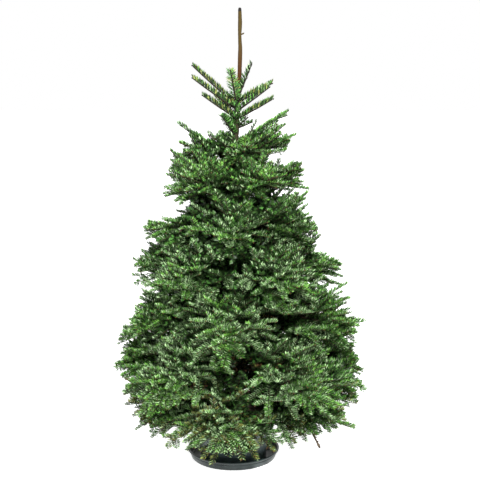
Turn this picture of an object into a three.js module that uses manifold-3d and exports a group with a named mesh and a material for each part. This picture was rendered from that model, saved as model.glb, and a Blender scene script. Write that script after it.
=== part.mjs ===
// A cut fir Christmas tree standing in a plastic nursery pot on a round drip saucer.
//
// Millimetres, +Z up. The origin is the centre of the saucer's flat underside, and -Y is the tree's
// front. The trunk runs whole from its flat cut in the pot to the bare tip of the leader. Seven
// whorls of boughs leave it, and each bough carries one mass of foliage: a woody stem in a rough
// core, with toothed sprays of needles standing off it. Single shoots stand round the leader.

import * as THREE from "three";
import { mergeVertices } from "three/addons/utils/BufferGeometryUtils.js";
import Module from "manifold-3d";

const wasm = await Module();
wasm.setup();

// ---------------------------------------------------------------- driving dimensions

const TREE_HEIGHT = 1800;
const CLEARANCE = 0.35; // between two pieces that touch
const SPACE_MARGIN = 2.5; // from a spray to the edge of its mass's own space

const SAUCER = {
  height: 38,
  footRadius: 170,
  rimRadius: 188,
  rimWidth: 8,
  wall: 4,
  sides: 24,
};

const POT = {
  height: 222,
  footRadius: 134,
  topRadius: 158,
  rimRadius: 166,
  rimDepth: 22,
  wall: 4,
  sides: 24,
};

const SOIL = { belowRim: 18, crown: 9 };

// The trunk's centre line leans a little to +X as it rises. Each row is height, x, y, radius, and
// the leader's last rows are the bare, knobbly shoot above the top whorl.
const TRUNK_ROWS = [
  { z: 12, x: 0, y: 0, radius: 38 },
  { z: 70, x: 0, y: 0, radius: 31 },
  { z: 210, x: 1, y: 1, radius: 28 },
  { z: 480, x: 3, y: 2, radius: 25 },
  { z: 800, x: 6, y: 2, radius: 20 },
  { z: 1100, x: 8, y: 1, radius: 14.5 },
  { z: 1300, x: 10, y: 0, radius: 11 },
  { z: 1430, x: 15, y: 0, radius: 9.5 },
  { z: 1540, x: 24, y: 0, radius: 7.8 },
  { z: 1650, x: 27, y: 0, radius: 7 },
  { z: 1690, x: 25, y: 0, radius: 5.6 },
  { z: 1745, x: 26, y: 0, radius: 7.2 },
  { z: TREE_HEIGHT, x: 25, y: 0, radius: 5 },
];
const TRUNK_SIDES = 9;
const TRUNK_RINGS = 2 * (TRUNK_ROWS.length - 1);

// The whorls, from the lowest up. Angles are degrees, and a heading of 0 is +X and 270 the front.
//   height   where the boughs leave the trunk      reach  how far their tips stand from the trunk
//   lift     the tips' height above that point     arch   how far the middle bows up
//   bare     share of the reach that is bough and carries no foliage (0: the mass meets the trunk)
//   fuller   how much further the boughs to +X reach than the mean
//   raised, hung  how many sprays stand up or hang down
const WHORLS = [
  {
    height: 270, count: 5, heading: 50, reach: 435, lift: -55, arch: 22,
    bare: 0.33, fuller: 0.12, raised: 1, hung: 3,
  },
  {
    height: 440, count: 5, heading: 16, reach: 515, lift: -74, arch: 24,
    bare: 0.27, fuller: 0.03, raised: 3, hung: 1,
  },
  {
    height: 620, count: 5, heading: 52, reach: 458, lift: -52, arch: 20,
    bare: 0, fuller: 0.1, raised: 3, hung: 1,
  },
  {
    height: 795, count: 5, heading: 14, reach: 430, lift: -18, arch: 12,
    bare: 0, fuller: 0.02, raised: 2, hung: 1,
  },
  {
    height: 955, count: 5, heading: 50, reach: 352, lift: 0, arch: 6,
    bare: 0, fuller: -0.02, raised: 2, hung: 1,
  },
  {
    height: 1090, count: 5, heading: 12, reach: 285, lift: 80, arch: -4,
    bare: 0, fuller: 0, raised: 2, hung: 0,
  },
  {
    height: 1225, count: 4, heading: 12, reach: 225, lift: 60, arch: 0,
    bare: 0, fuller: 0, raised: 2, hung: 0,
  },
];
const INTERLOCK = 45; // how far a mass's space rises between the boughs of the whorl above it
const LOWEST_SPACE = [135, 20]; // down from the lowest whorl, at the trunk and at its tips
const HIGHEST_SPACE = 30; // from the highest whorl up to the end of its masses' space
const ENVELOPE = { above: 20, least: 170, fill: 0.97, last: 0.75 }; // how the crown narrows upwards

// The open crown of single shoots under the leader: its foot on the trunk, heading, length, rise.
const TOP_SHOOTS = [
  { height: 1430, heading: 176, length: 216, rise: 39 },
  { height: 1414, heading: 200, length: 205, rise: 32 },
  { height: 1380, heading: 186, length: 150, rise: 34 },
  { height: 1458, heading: 262, length: 150, rise: 44 },
  { height: 1456, heading: 320, length: 146, rise: 60 },
  { height: 1440, heading: 14, length: 160, rise: 28 },
  { height: 1408, heading: 342, length: 158, rise: 33 },
  { height: 1376, heading: 4, length: 160, rise: 27 },
  { height: 1275, heading: 12, length: 262, rise: 32 },
  { height: 1312, heading: 236, length: 127, rise: 42 },
  { height: 1404, heading: 85, length: 170, rise: 42 },
  { height: 1376, heading: 130, length: 160, rise: 32 },
];

// One bare dead twig hangs out of the lowest whorl, at the front right.
const DEAD_TWIG = {
  tier: 0,
  index: 4,
  from: 0.58, // its share of the bough it leaves
  bend: [308, -170, 164],
  tip: [339, -208, 109],
  footRadius: 4.6,
  tipRadius: 3.2,
  sides: 5,
  rings: 4,
};

const BOUGH = { sides: 5, rings: 2, footRadius: 10, tipRadius: 7 };
const STEM = { sides: 3, rings: 2, footRadius: 9, tipRadius: 4.5, end: 0.74 };
const SPRAY = {
  widthShare: 0.4,
  thickness: 12,
  cup: 0.1,
  sunk: 1.5,
  pairs: 2, // side sprays on each side of a stem
  shortest: 55,
  longest: 235,
  cuts: [1, 0.85, 0.72, 0.6, 0.48, 0.38], // lengths that are tried until one fits the mass's space
};
const CORE = {
  from: 0.16,
  inset: 0.05, // the start's distance beyond the bare wood
  to: 0.86,
  sides: 8,
  rings: 4,
  fill: [0.92, 0.62], // how much of its space its tips take up, near the trunk and at the far end
  dent: [0.45, 0.65], // how far out its dents lie, as a share of its tips
  step: 4, // between the places where the space is tried
};
const SHOOT = { width: 46, thickness: 15, cup: 0.8, stemRadius: 4, stemSides: 4, bare: 0.12 };

// One edge of a spray, as shares of its length and width: finger tips with the notches between.
// The last notch is where the spray's near rib hands over to its far rib.
const FINGERS = [
  [0.24, 0.46], [0.31, 0.15], [0.53, 0.5], [0.6, 0.14], [0.84, 0.36],
];
const LAST_NOTCH = 4;

const BARK = { color: 0x6b5638, roughness: 0.9 };
const NEEDLES = { color: 0x3f6b32, roughness: 0.75 };
const NEEDLES_TOP = { color: 0x587d3a, roughness: 0.75 };
const PLASTIC = { color: 0x36423f, roughness: 0.45 };
const POT_PLASTIC = { color: 0x2c3634, roughness: 0.5 };
const EARTH = { color: 0x33261b, roughness: 1 };

// ---------------------------------------------------------------- small helpers

const radians = THREE.MathUtils.degToRad;
const UP = new THREE.Vector3(0, 0, 1);
const BACK = new THREE.Vector3(0, 1, 0);

/** A repeatable number from 0 to 1 for any seed. */
function chance(seed) {
  const wave = Math.sin(seed * 127.1 + 311.7) * 43758.5453;
  return wave - Math.floor(wave);
}

/** A repeatable number from -range to range. */
const spread = (seed, range) => (2 * chance(seed) - 1) * range;

/** The closed solid of a geometry, whose shared vertices are merged first. */
function solidOf(geometry) {
  const bare = geometry.clone();
  bare.deleteAttribute("normal");
  bare.deleteAttribute("uv");
  const merged = mergeVertices(bare, 1e-3);
  return new wasm.Manifold(
    new wasm.Mesh({
      numProp: 3,
      vertProperties: merged.getAttribute("position").array,
      triVerts: new Uint32Array(merged.index.array),
    }),
  );
}

/** The geometry of a closed solid. */
function geometryOf(solid) {
  const mesh = solid.getMesh();
  const geometry = new THREE.BufferGeometry();
  geometry.setAttribute("position", new THREE.BufferAttribute(mesh.vertProperties, 3));
  geometry.setIndex(new THREE.BufferAttribute(mesh.triVerts, 1));
  return geometry;
}

/** A named mesh with a material of its own. */
function piece(name, geometry, look) {
  const shaded = geometry.clone();
  shaded.computeVertexNormals();
  const mesh = new THREE.Mesh(shaded, new THREE.MeshStandardMaterial({ metalness: 0, ...look }));
  mesh.name = name;
  return mesh;
}

/** A geometry from a list of points and a list of corner triples. */
function facets(points, triples) {
  const geometry = new THREE.BufferGeometry().setFromPoints(points);
  geometry.setIndex(triples.flat());
  return geometry;
}

/**
 * A closed limb along a curve. radiusAt gives its radius for a share 0 to 1 of the curve, and may
 * use the ring and side, the centre there and the direction that the radius is measured in.
 */
function limb(curve, radiusAt, sides, rings, reference = UP) {
  const points = [];
  const triples = [];
  for (let ring = 0; ring <= rings; ring++) {
    const share = ring / rings;
    const centre = curve.getPoint(share);
    const tangent = curve.getTangent(share);
    const across = new THREE.Vector3().crossVectors(reference, tangent).normalize();
    const above = new THREE.Vector3().crossVectors(tangent, across);
    for (let side = 0; side < sides; side++) {
      const turn = (2 * Math.PI * (side + 0.5)) / sides;
      const outward = across.clone().multiplyScalar(Math.cos(turn)).addScaledVector(above, Math.sin(turn));
      const radius = radiusAt(share, { ring, side, centre, outward });
      points.push(centre.clone().addScaledVector(outward, radius));
    }
  }
  for (let ring = 0; ring < rings; ring++) {
    for (let side = 0; side < sides; side++) {
      const a = ring * sides + side;
      const b = ring * sides + ((side + 1) % sides);
      triples.push([a, b, b + sides], [a, b + sides, a + sides]);
    }
  }
  const last = rings * sides;
  for (let side = 1; side < sides - 1; side++) {
    triples.push([0, side + 1, side], [last, last + side, last + side + 1]);
  }
  return facets(points, triples);
}

/** A radius that runs evenly from a limb's foot to its tip. */
const tapered = (footRadius, tipRadius) => (share) =>
  THREE.MathUtils.lerp(footRadius, tipRadius, share);

// ---------------------------------------------------------------- pot, saucer and soil

/** A surface of revolution about Z from a profile of [radius, height] that starts and ends on the axis. */
function turned(profile, sides) {
  const points = profile.map(([radius, height]) => new THREE.Vector2(radius, height));
  return new THREE.LatheGeometry(points, sides).rotateX(Math.PI / 2);
}

/** The drip saucer: a shallow dish with a thick rolled rim. */
function saucer() {
  const { height, footRadius, rimRadius, rimWidth, wall, sides } = SAUCER;
  const profile = [
    [0, 0],
    [footRadius, 0],
    [rimRadius - rimWidth * 0.6, height - 11],
    [rimRadius, height - 8],
    [rimRadius, height - 2],
    [rimRadius - 2, height],
    [rimRadius - rimWidth, height],
    [footRadius - wall, wall],
    [0, wall],
  ];
  return turned(profile, sides);
}

const POT_FOOT = SAUCER.wall + CLEARANCE;
const POT_TOP = POT_FOOT + POT.height;
const SOIL_TOP = POT_TOP - SOIL.belowRim;

/** The pot's outer radius at a height above its foot, below its rim. */
const potRadius = (height) =>
  THREE.MathUtils.mapLinear(height, 0, POT.height, POT.footRadius, POT.topRadius);

/** The nursery pot: a tapered cup with a deep turned-over rim band. */
function pot() {
  const { height, footRadius, rimRadius, rimDepth, wall, sides } = POT;
  const profile = [
    [0, 0],
    [footRadius, 0],
    [potRadius(height - rimDepth), height - rimDepth],
    [rimRadius - 1.5, height - rimDepth],
    [rimRadius, height - 2],
    [rimRadius - 2, height],
    [potRadius(height) - wall, height],
    [footRadius - wall, wall],
    [0, wall],
  ];
  return turned(profile, sides).translate(0, 0, POT_FOOT);
}

/** The potting soil, cut round the trunk that stands in it. */
function soil(trunkSpace) {
  const inner = (height) => potRadius(height - POT_FOOT) - POT.wall - CLEARANCE * 2;
  const floor = POT_FOOT + POT.wall + CLEARANCE;
  const profile = [
    [0, floor],
    [inner(floor), floor],
    [inner(SOIL_TOP), SOIL_TOP],
    [inner(SOIL_TOP) * 0.55, SOIL_TOP + SOIL.crown * 0.8],
    [0, SOIL_TOP + SOIL.crown],
  ];
  return geometryOf(solidOf(turned(profile, POT.sides)).subtract(trunkSpace));
}

// ---------------------------------------------------------------- trunk

const trunkLine = new THREE.CatmullRomCurve3(
  TRUNK_ROWS.map(({ x, y, z }) => new THREE.Vector3(x, y, z)),
);

/** The values of the trunk's rows at a height, joined by straight lines. */
function trunkAt(z) {
  const upper = Math.max(1, TRUNK_ROWS.findIndex((row) => row.z >= z));
  const [low, high] = z > TREE_HEIGHT ? TRUNK_ROWS.slice(-2) : TRUNK_ROWS.slice(upper - 1, upper + 1);
  const share = THREE.MathUtils.clamp((z - low.z) / (high.z - low.z), 0, 1);
  const mixed = (key) => THREE.MathUtils.lerp(low[key], high[key], share);
  return { x: mixed("x"), y: mixed("y"), radius: mixed("radius") };
}

/** The trunk, or with growth the space that everything else keeps clear of. */
function trunk(growth = 0) {
  const radiusAt = (share) => trunkAt(trunkLine.getPoint(share).z).radius + growth;
  return limb(trunkLine, radiusAt, TRUNK_SIDES, TRUNK_RINGS, BACK);
}

// ---------------------------------------------------------------- boughs

/** One bough of a whorl, as the centre line that its wood and its foliage both follow. */
class Bough extends THREE.Curve {
  constructor(whorl, tier, index) {
    super();
    this.whorl = whorl;
    this.tier = tier;
    this.index = index;
    this.seed = tier * 20 + index;
    this.sector = radians(360 / whorl.count);
    this.heading = radians(whorl.heading) + this.sector * index;
    const fullness = whorl.fuller * Math.cos(this.heading) + spread(this.seed + 0.3, 0.03);
    this.reach = whorl.reach * (1 + fullness);
    this.foot = trunkAt(whorl.height);
  }

  /** The point at a share 0 to 1 of the way from the trunk's centre to the tip. */
  getPoint(share, target = new THREE.Vector3()) {
    const radius = this.reach * share;
    return target.set(
      this.foot.x + Math.cos(this.heading) * radius,
      this.foot.y + Math.sin(this.heading) * radius,
      whorlHeight(this.whorl, radius),
    );
  }
}

/** The height of a whorl's boughs at a distance from the trunk. */
function whorlHeight({ height, lift, arch, reach }, radius) {
  const share = Math.min(radius / reach, 1.15);
  return height + lift * share + arch * Math.sin(Math.PI * Math.min(share, 1));
}

/** A stretch of another curve, from one share of it to another. */
class Stretch extends THREE.Curve {
  constructor(curve, from, to) {
    super();
    Object.assign(this, { curve, from, to });
  }

  getPoint(share, target) {
    return this.curve.getPoint(THREE.MathUtils.lerp(this.from, this.to, share), target);
  }
}

/** The bare wood of a bough, from the trunk to where it enters its mass of foliage. */
function boughWood(bough, trunkSpace) {
  const section = tapered(BOUGH.footRadius, BOUGH.tipRadius);
  const wood = limb(new Stretch(bough, 0, bough.whorl.bare), section, BOUGH.sides, BOUGH.rings);
  return geometryOf(largest(solidOf(wood).subtract(trunkSpace)));
}

/** The largest separate body of a solid. */
function largest(solid) {
  return solid.decompose().reduce((best, body) => (body.volume() > best.volume() ? body : best));
}

// ---------------------------------------------------------------- foliage

/**
 * A spray of needled side shoots: a thin toothed blade that points along +X in the XY plane, with
 * fingers on both sides and one at the tip. It is thickest along its rib, and cup lifts its sides.
 */
function sprayBlade(length, width, { thickness = SPRAY.thickness, cup = SPRAY.cup } = {}) {
  const at = (x, y) => new THREE.Vector3(x * length, y * width, Math.abs(y) * width * cup);
  const left = FINGERS.map(([x, y]) => at(x, y));
  const right = FINGERS.map(([x, y]) => at(x - 0.02, -y)).reverse();
  const outline = [at(0, 0), ...left, at(1, 0), ...right];
  const turns = outline.length;
  const tip = turns / 2;
  const [nearRib, farRib] = [FINGERS[1][0], FINGERS[3][0]];
  const ribs = [1, -1].flatMap((face) =>
    [[nearRib, 0.5], [farRib, 0.34]].map(
      ([x, share]) => new THREE.Vector3(x * length, 0, face * share * thickness),
    ),
  );
  const [topNear, topFar, underNear, underFar] = ribs.map((_, n) => turns + n);
  const triples = [];
  for (let n = 0; n < turns; n++) {
    const next = (n + 1) % turns;
    const far = n >= LAST_NOTCH && n < turns - LAST_NOTCH;
    triples.push([far ? topFar : topNear, next, n], [far ? underFar : underNear, n, next]);
  }
  for (const notch of [LAST_NOTCH, turns - LAST_NOTCH]) {
    const beyond = notch > tip;
    triples.push(beyond ? [topNear, notch, topFar] : [topNear, topFar, notch]);
    triples.push(beyond ? [underNear, underFar, notch] : [underNear, notch, underFar]);
  }
  return facets([...outline, ...ribs], triples);
}

/** A matrix that lays a blade at a point, along a direction, with its flat face towards up. */
function laidAt(point, direction, up) {
  const side = new THREE.Vector3().crossVectors(up, direction).normalize();
  const normal = new THREE.Vector3().crossVectors(direction, side);
  return new THREE.Matrix4().makeBasis(direction, side, normal).setPosition(point);
}

/** How near a heading is to a whorl's boughs: 1 along a bough and -1 midway between two. */
const nearness = ({ count, heading }, angle) => Math.cos(count * (angle - radians(heading)));

/** The height of the border between a whorl's space and the next whorl's, at a place in the crown. */
function border(lower, radius, angle) {
  const [below, above] = [WHORLS[lower], WHORLS[lower + 1]];
  const midway = (whorlHeight(below, radius) + whorlHeight(above, radius)) / 2;
  return midway + (INTERLOCK * (nearness(below, angle) - nearness(above, angle))) / 2;
}

/** The lowest and highest z of a whorl's space, at a distance from the trunk and a heading. */
function layer(tier, radius, angle) {
  const own = whorlHeight(WHORLS[tier], radius);
  const hang = THREE.MathUtils.lerp(...LOWEST_SPACE, (radius / WHORLS[tier].reach) ** 3);
  const lowest = tier === 0 ? own - hang : border(tier - 1, radius, angle);
  const last = tier === WHORLS.length - 1;
  const highest = last ? own + HIGHEST_SPACE : border(tier, radius, angle);
  return [lowest + SPACE_MARGIN, highest - SPACE_MARGIN];
}

/** Whether a point lies in the space that a bough's mass keeps to. */
function inOwnSpace(bough, point) {
  const centre = trunkAt(point.z);
  const x = point.x - bough.foot.x;
  const y = point.y - bough.foot.y;
  const radius = Math.hypot(x, y);
  const angle = Math.atan2(y, x);
  const offset = Math.abs(turnBetween(angle, bough.heading));
  const toSide = radius * Math.sin(Math.min(bough.sector / 2 - offset, Math.PI / 2));
  const [low, high] = layer(bough.tier, radius, angle);
  const fromAxis = Math.hypot(point.x - centre.x, point.y - centre.y);
  const overPot = Math.hypot(point.x, point.y) < SAUCER.rimRadius + 6;
  return (
    toSide > SPACE_MARGIN &&
    point.z > Math.max(low, overPot ? POT_TOP + 6 : SAUCER.height + 22) &&
    point.z < high &&
    fromAxis > centre.radius + 4 &&
    radius < Math.min(crownReach(bough, offset), envelope(bough, point.z))
  );
}

/** The turn from one heading to another, between minus half a turn and half a turn. */
const turnBetween = (a, b) => Math.atan2(Math.sin(a - b), Math.cos(a - b));

/** How far a mass may reach at an angle off its bough, so that the tips stand out of the crown. */
function crownReach(bough, offset) {
  return bough.reach * (1.01 - 0.2 * (offset / (bough.sector / 2)) ** 2);
}

/** How far a mass may reach at a height: less and less from its tips up to the next whorl's. */
function envelope({ tier, whorl, reach }, z) {
  const next = WHORLS[tier + 1];
  const tip = whorl.height + whorl.lift;
  const gap = next ? Math.max(next.height + next.lift - tip, ENVELOPE.least) : ENVELOPE.least;
  const narrow = (next ? next.reach : whorl.reach * ENVELOPE.last) * ENVELOPE.fill;
  const rise = THREE.MathUtils.clamp((z - tip - ENVELOPE.above) / gap, 0, 1);
  return (narrow + (whorl.reach - narrow) * (1 - rise) ** 2) * (reach / whorl.reach);
}

/** The corners of a geometry, as vectors. */
function cornersOf(geometry) {
  const position = geometry.getAttribute("position");
  return Array.from({ length: position.count }, (_, n) =>
    new THREE.Vector3().fromBufferAttribute(position, n),
  );
}

/**
 * The sprays of one mass, as { share, turn, climb, length }: where each leaves the stem, its angle
 * off the stem to the left, its climb above it and the length it would like to have.
 */
function sprayPlan(bough) {
  const { raised, hung, bare, reach } = bough.whorl;
  const first = bare + 0.6 * (STEM.end - bare) - 0.06;
  const last = STEM.end - 0.05;
  const plan = [{ share: STEM.end - 0.03, turn: 0, climb: 1, length: reach * (1.02 - STEM.end) }];
  const seedOf = (n) => bough.seed * 40 + n;
  for (let n = 0; n < 2 * SPRAY.pairs; n++) {
    const along = Math.floor(n / 2) / (SPRAY.pairs - 1);
    const side = n % 2 ? 1 : -1;
    plan.push({
      share: THREE.MathUtils.lerp(first, last, along) + side * 0.012,
      turn: side * (THREE.MathUtils.lerp(50, 27, along) + spread(seedOf(n), 5)),
      climb: spread(seedOf(n + 0.5), 12),
      length: reach * THREE.MathUtils.lerp(0.56, 0.42, along) * (1 + spread(seedOf(n + 0.7), 0.1)),
    });
  }
  for (let n = 0; n < raised + hung; n++) {
    const up = n < raised;
    const [place, among] = up ? [n, raised] : [n - raised, hung];
    const fan = among > 1 ? (2 * place) / (among - 1) - 1 : 0;
    plan.push({
      share: THREE.MathUtils.lerp(first - 0.12, last, (place + 0.6) / among) - 0.05,
      turn: fan * 30 + spread(seedOf(n + 20), 12),
      climb: (up ? 34 : -36) + spread(seedOf(n + 20.5), 8),
      length: reach * 0.5,
    });
  }
  return plan;
}

/** How far a bough's own space goes on from a point in a direction. */
function roomFrom(bough, point, direction) {
  let room = 0;
  while (inOwnSpace(bough, point.clone().addScaledVector(direction, room + CORE.step))) {
    room += CORE.step;
  }
  return room;
}

/** The dense inside of a mass, which its sprays stand out of: a jagged body round the stem. */
function foliageCore(bough) {
  const from = Math.max(bough.whorl.bare + CORE.inset, CORE.from);
  const radiusAt = (share, { ring, side, centre, outward }) => {
    const uneven = chance(bough.seed * 90 + ring * 9 + side);
    const cut = (side + ring) % 2 ? THREE.MathUtils.lerp(...CORE.dent, uneven) : 1 - 0.2 * uneven;
    const fill = THREE.MathUtils.lerp(...CORE.fill, share ** 2);
    return Math.max(roomFrom(bough, centre, outward) * fill * cut, STEM.footRadius);
  };
  return limb(new Stretch(bough, from, CORE.to), radiusAt, CORE.sides, CORE.rings);
}

/** A spray of the plan, laid in place and as long as its mass's space lets it be, or nothing. */
function placedSpray(bough, { share, turn, climb, length }) {
  const direction = bough.getTangent(share).applyAxisAngle(UP, radians(turn));
  direction.applyAxisAngle(new THREE.Vector3().crossVectors(direction, UP).normalize(), radians(climb));
  const lean = radians(spread(bough.seed + share * 90 + turn, 12));
  const leaned = UP.clone().applyAxisAngle(direction, lean);
  const root = bough.getPoint(share).addScaledVector(direction, -SPRAY.sunk);
  for (const cut of SPRAY.cuts) {
    const reached = Math.min(length, SPRAY.longest) * cut;
    if (reached < SPRAY.shortest) return null;
    const blade = sprayBlade(reached + SPRAY.sunk, reached * SPRAY.widthShare);
    blade.applyMatrix4(laidAt(root, direction, leaned));
    if (cornersOf(blade).slice(1).every((corner) => inOwnSpace(bough, corner))) return blade;
  }
  return null;
}

/** The bare dead twig, from inside its mass out to its tip. */
function deadTwig(bough) {
  const { from, bend, tip, footRadius, tipRadius, sides, rings } = DEAD_TWIG;
  const line = new THREE.CatmullRomCurve3([
    bough.getPoint(from),
    new THREE.Vector3(...bend),
    new THREE.Vector3(...tip),
  ]);
  return limb(line, tapered(footRadius, tipRadius), sides, rings, BACK);
}

/** One mass of foliage: the bough's stem with its sprays fused on, cut clear of the trunk. */
function foliage(bough, trunkSpace) {
  const { bare } = bough.whorl;
  const start = bare ? bare + CLEARANCE / bough.reach : 0;
  const slimness = THREE.MathUtils.lerp(0.45, 1, bough.reach / WHORLS[1].reach);
  const section = tapered(STEM.footRadius * slimness, STEM.tipRadius * slimness);
  const stem = limb(new Stretch(bough, start, STEM.end), section, STEM.sides, STEM.rings);
  const parts = [foliageCore(bough), ...sprayPlan(bough).map((spray) => placedSpray(bough, spray))];
  if (bough.tier === DEAD_TWIG.tier && bough.index === DEAD_TWIG.index) parts.push(deadTwig(bough));
  const mass = parts
    .filter((part) => part !== null)
    .reduce((fused, part) => fused.add(solidOf(part)), solidOf(stem));
  return geometryOf(largest(mass.subtract(trunkSpace)));
}

/** A single shoot of the open top: a slim stem in a long, narrow spray whose needles stand up. */
function topShoot({ height, heading, length, rise }, trunkSpace) {
  const foot = trunkAt(height);
  const direction = new THREE.Vector3(1, 0, 0)
    .applyAxisAngle(new THREE.Vector3(0, 1, 0), -radians(rise))
    .applyAxisAngle(new THREE.Vector3(0, 0, 1), radians(heading));
  const start = new THREE.Vector3(foot.x, foot.y, height);
  const bare = length * SHOOT.bare;
  const line = new THREE.LineCurve3(start, start.clone().addScaledVector(direction, bare * 1.6));
  const section = tapered(SHOOT.stemRadius, SHOOT.stemRadius);
  const stem = solidOf(limb(line, section, SHOOT.stemSides, 1));
  const blade = sprayBlade(length - bare, SHOOT.width, SHOOT);
  const root = start.clone().addScaledVector(direction, bare);
  blade.applyMatrix4(laidAt(root, direction, UP));
  return geometryOf(largest(stem.add(solidOf(blade)).subtract(trunkSpace)));
}

// ---------------------------------------------------------------- assembly

/** Every piece of the tree, its pot and its saucer, as one group. */
function tree() {
  const group = new THREE.Group();
  const trunkSpace = solidOf(trunk(CLEARANCE));
  group.add(piece("saucer", saucer(), PLASTIC));
  group.add(piece("pot", pot(), POT_PLASTIC));
  group.add(piece("soil", soil(trunkSpace), EARTH));
  group.add(piece("trunk", trunk(), BARK));
  WHORLS.forEach((whorl, tier) => {
    for (let index = 0; index < whorl.count; index++) {
      const bough = new Bough(whorl, tier, index);
      const place = `t${tier + 1}_${index + 1}`;
      if (whorl.bare) group.add(piece(`bough_${place}`, boughWood(bough, trunkSpace), BARK));
      group.add(piece(`foliage_${place}`, foliage(bough, trunkSpace), NEEDLES));
    }
  });
  TOP_SHOOTS.forEach((shoot, index) => {
    group.add(piece(`top_shoot_${index + 1}`, topShoot(shoot, trunkSpace), NEEDLES_TOP));
  });
  return group;
}

export default tree();
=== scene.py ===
"""A cut fir Christmas tree in a plastic nursery pot on a drip saucer, grown around its solids.

The frame's solids give the trunk, the pot, the saucer and the space of every foliage mass. The
same seeded rule that places the masses is written again here, and is carried on from the boughs
to side twigs, shoots and single needles. Metres, +Z up, and -Y is the tree's front.
"""

from __future__ import annotations

import logging
import math
from collections.abc import Iterable, Sequence
from dataclasses import dataclass, field
from enum import Enum

import bpy
import numpy as np
from mathutils import Matrix, Vector, noise

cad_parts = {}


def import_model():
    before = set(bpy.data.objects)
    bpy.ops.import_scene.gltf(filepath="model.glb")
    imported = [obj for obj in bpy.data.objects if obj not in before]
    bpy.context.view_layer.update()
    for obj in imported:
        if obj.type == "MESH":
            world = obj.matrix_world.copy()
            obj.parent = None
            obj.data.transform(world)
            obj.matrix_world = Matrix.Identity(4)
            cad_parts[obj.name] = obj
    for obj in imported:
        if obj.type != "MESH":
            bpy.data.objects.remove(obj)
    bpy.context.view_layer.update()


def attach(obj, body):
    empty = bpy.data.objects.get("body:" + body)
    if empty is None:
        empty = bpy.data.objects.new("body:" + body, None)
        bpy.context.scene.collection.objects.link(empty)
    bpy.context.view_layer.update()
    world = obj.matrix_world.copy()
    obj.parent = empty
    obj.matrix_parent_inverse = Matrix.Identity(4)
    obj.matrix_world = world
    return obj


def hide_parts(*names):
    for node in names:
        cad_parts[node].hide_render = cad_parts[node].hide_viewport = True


log = logging.getLogger("fir")

MM = 0.001
UP = np.array([0.0, 0.0, 1.0])
BODY = "root"
PIECE_LIMIT = 190_000  # triangles in one joined piece
GOLDEN_ANGLE = 137.5  # degrees from one shoot to the next round a stem
GOLDEN_TURN = 0.6180339  # the same for needles, as a share of the whole way round
NEEDLE_SEED, TOP_SEED, SPRAY_SEED = 17, 500, 7000

Colour = tuple[float, float, float]  # linear red, green and blue
Socket = bpy.types.NodeSocket
Values = np.ndarray | float  # one number, or rows of them


# ---------------------------------------------------------------- repeatable chance


def chance(seed: float) -> float:
    """A repeatable number from 0 to 1 for any seed, the same one that the solids were grown by."""
    wave = math.sin(seed * 127.1 + 311.7) * 43758.5453
    return wave - math.floor(wave)


def spread(seed: float, reach: float) -> float:
    """A repeatable number from -reach to reach."""
    return (2 * chance(seed) - 1) * reach


def lerp(low: Values, high: Values, share: Values) -> Values:
    """The value at a share of the way from low to high."""
    return low + (high - low) * share


def unit(vector: np.ndarray) -> np.ndarray:
    """The same direction with a length of one, for one vector or for rows of them."""
    return vector / np.maximum(np.linalg.norm(vector, axis=-1, keepdims=True), 1e-9)


def square_to(axis: np.ndarray, vector: np.ndarray) -> np.ndarray:
    """A vector's part that is square to an axis, with a length of one, for one pair or for rows of them."""
    return unit(vector - axis * np.sum(vector * axis, axis=-1, keepdims=True))


def turned(vector: np.ndarray, axis: np.ndarray, angle: float) -> np.ndarray:
    """A vector turned about an axis.

    Args:
        vector: The vector to turn.
        axis: The axis, with a length of one.
        angle: The angle in degrees, by the right-hand rule.

    Returns:
        The turned vector.
    """
    cosine, sine = math.cos(math.radians(angle)), math.sin(math.radians(angle))
    along = axis * np.dot(axis, vector)
    return along + (vector - along) * cosine + np.cross(axis, vector) * sine


def pointed(heading: float, climb: float) -> np.ndarray:
    """The direction of a heading and a climb in degrees, with a length of one."""
    turn, rise = math.radians(heading), math.radians(climb)
    return np.array([math.cos(turn) * math.cos(rise), math.sin(turn) * math.cos(rise), math.sin(rise)])


def leaving(axis: np.ndarray, roll: float, angle: float) -> np.ndarray:
    """The direction that leaves an axis at an angle.

    Args:
        axis: The axis, with a length of one.
        roll: How far round the axis it lies from its right side, in radians.
        angle: How far off the axis it turns, in radians.

    Returns:
        The direction, with a length of one.
    """
    side = unit(np.cross(axis, UP))
    across = side * math.cos(roll) + np.cross(side, axis) * math.sin(roll)
    return unit(axis * math.cos(angle) + across * math.sin(angle))


def tinted(colour: Colour, factor: float) -> Colour:
    """A colour that is lighter or darker by a factor."""
    return tuple(channel * factor for channel in colour)


# ---------------------------------------------------------------- finishes


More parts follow.
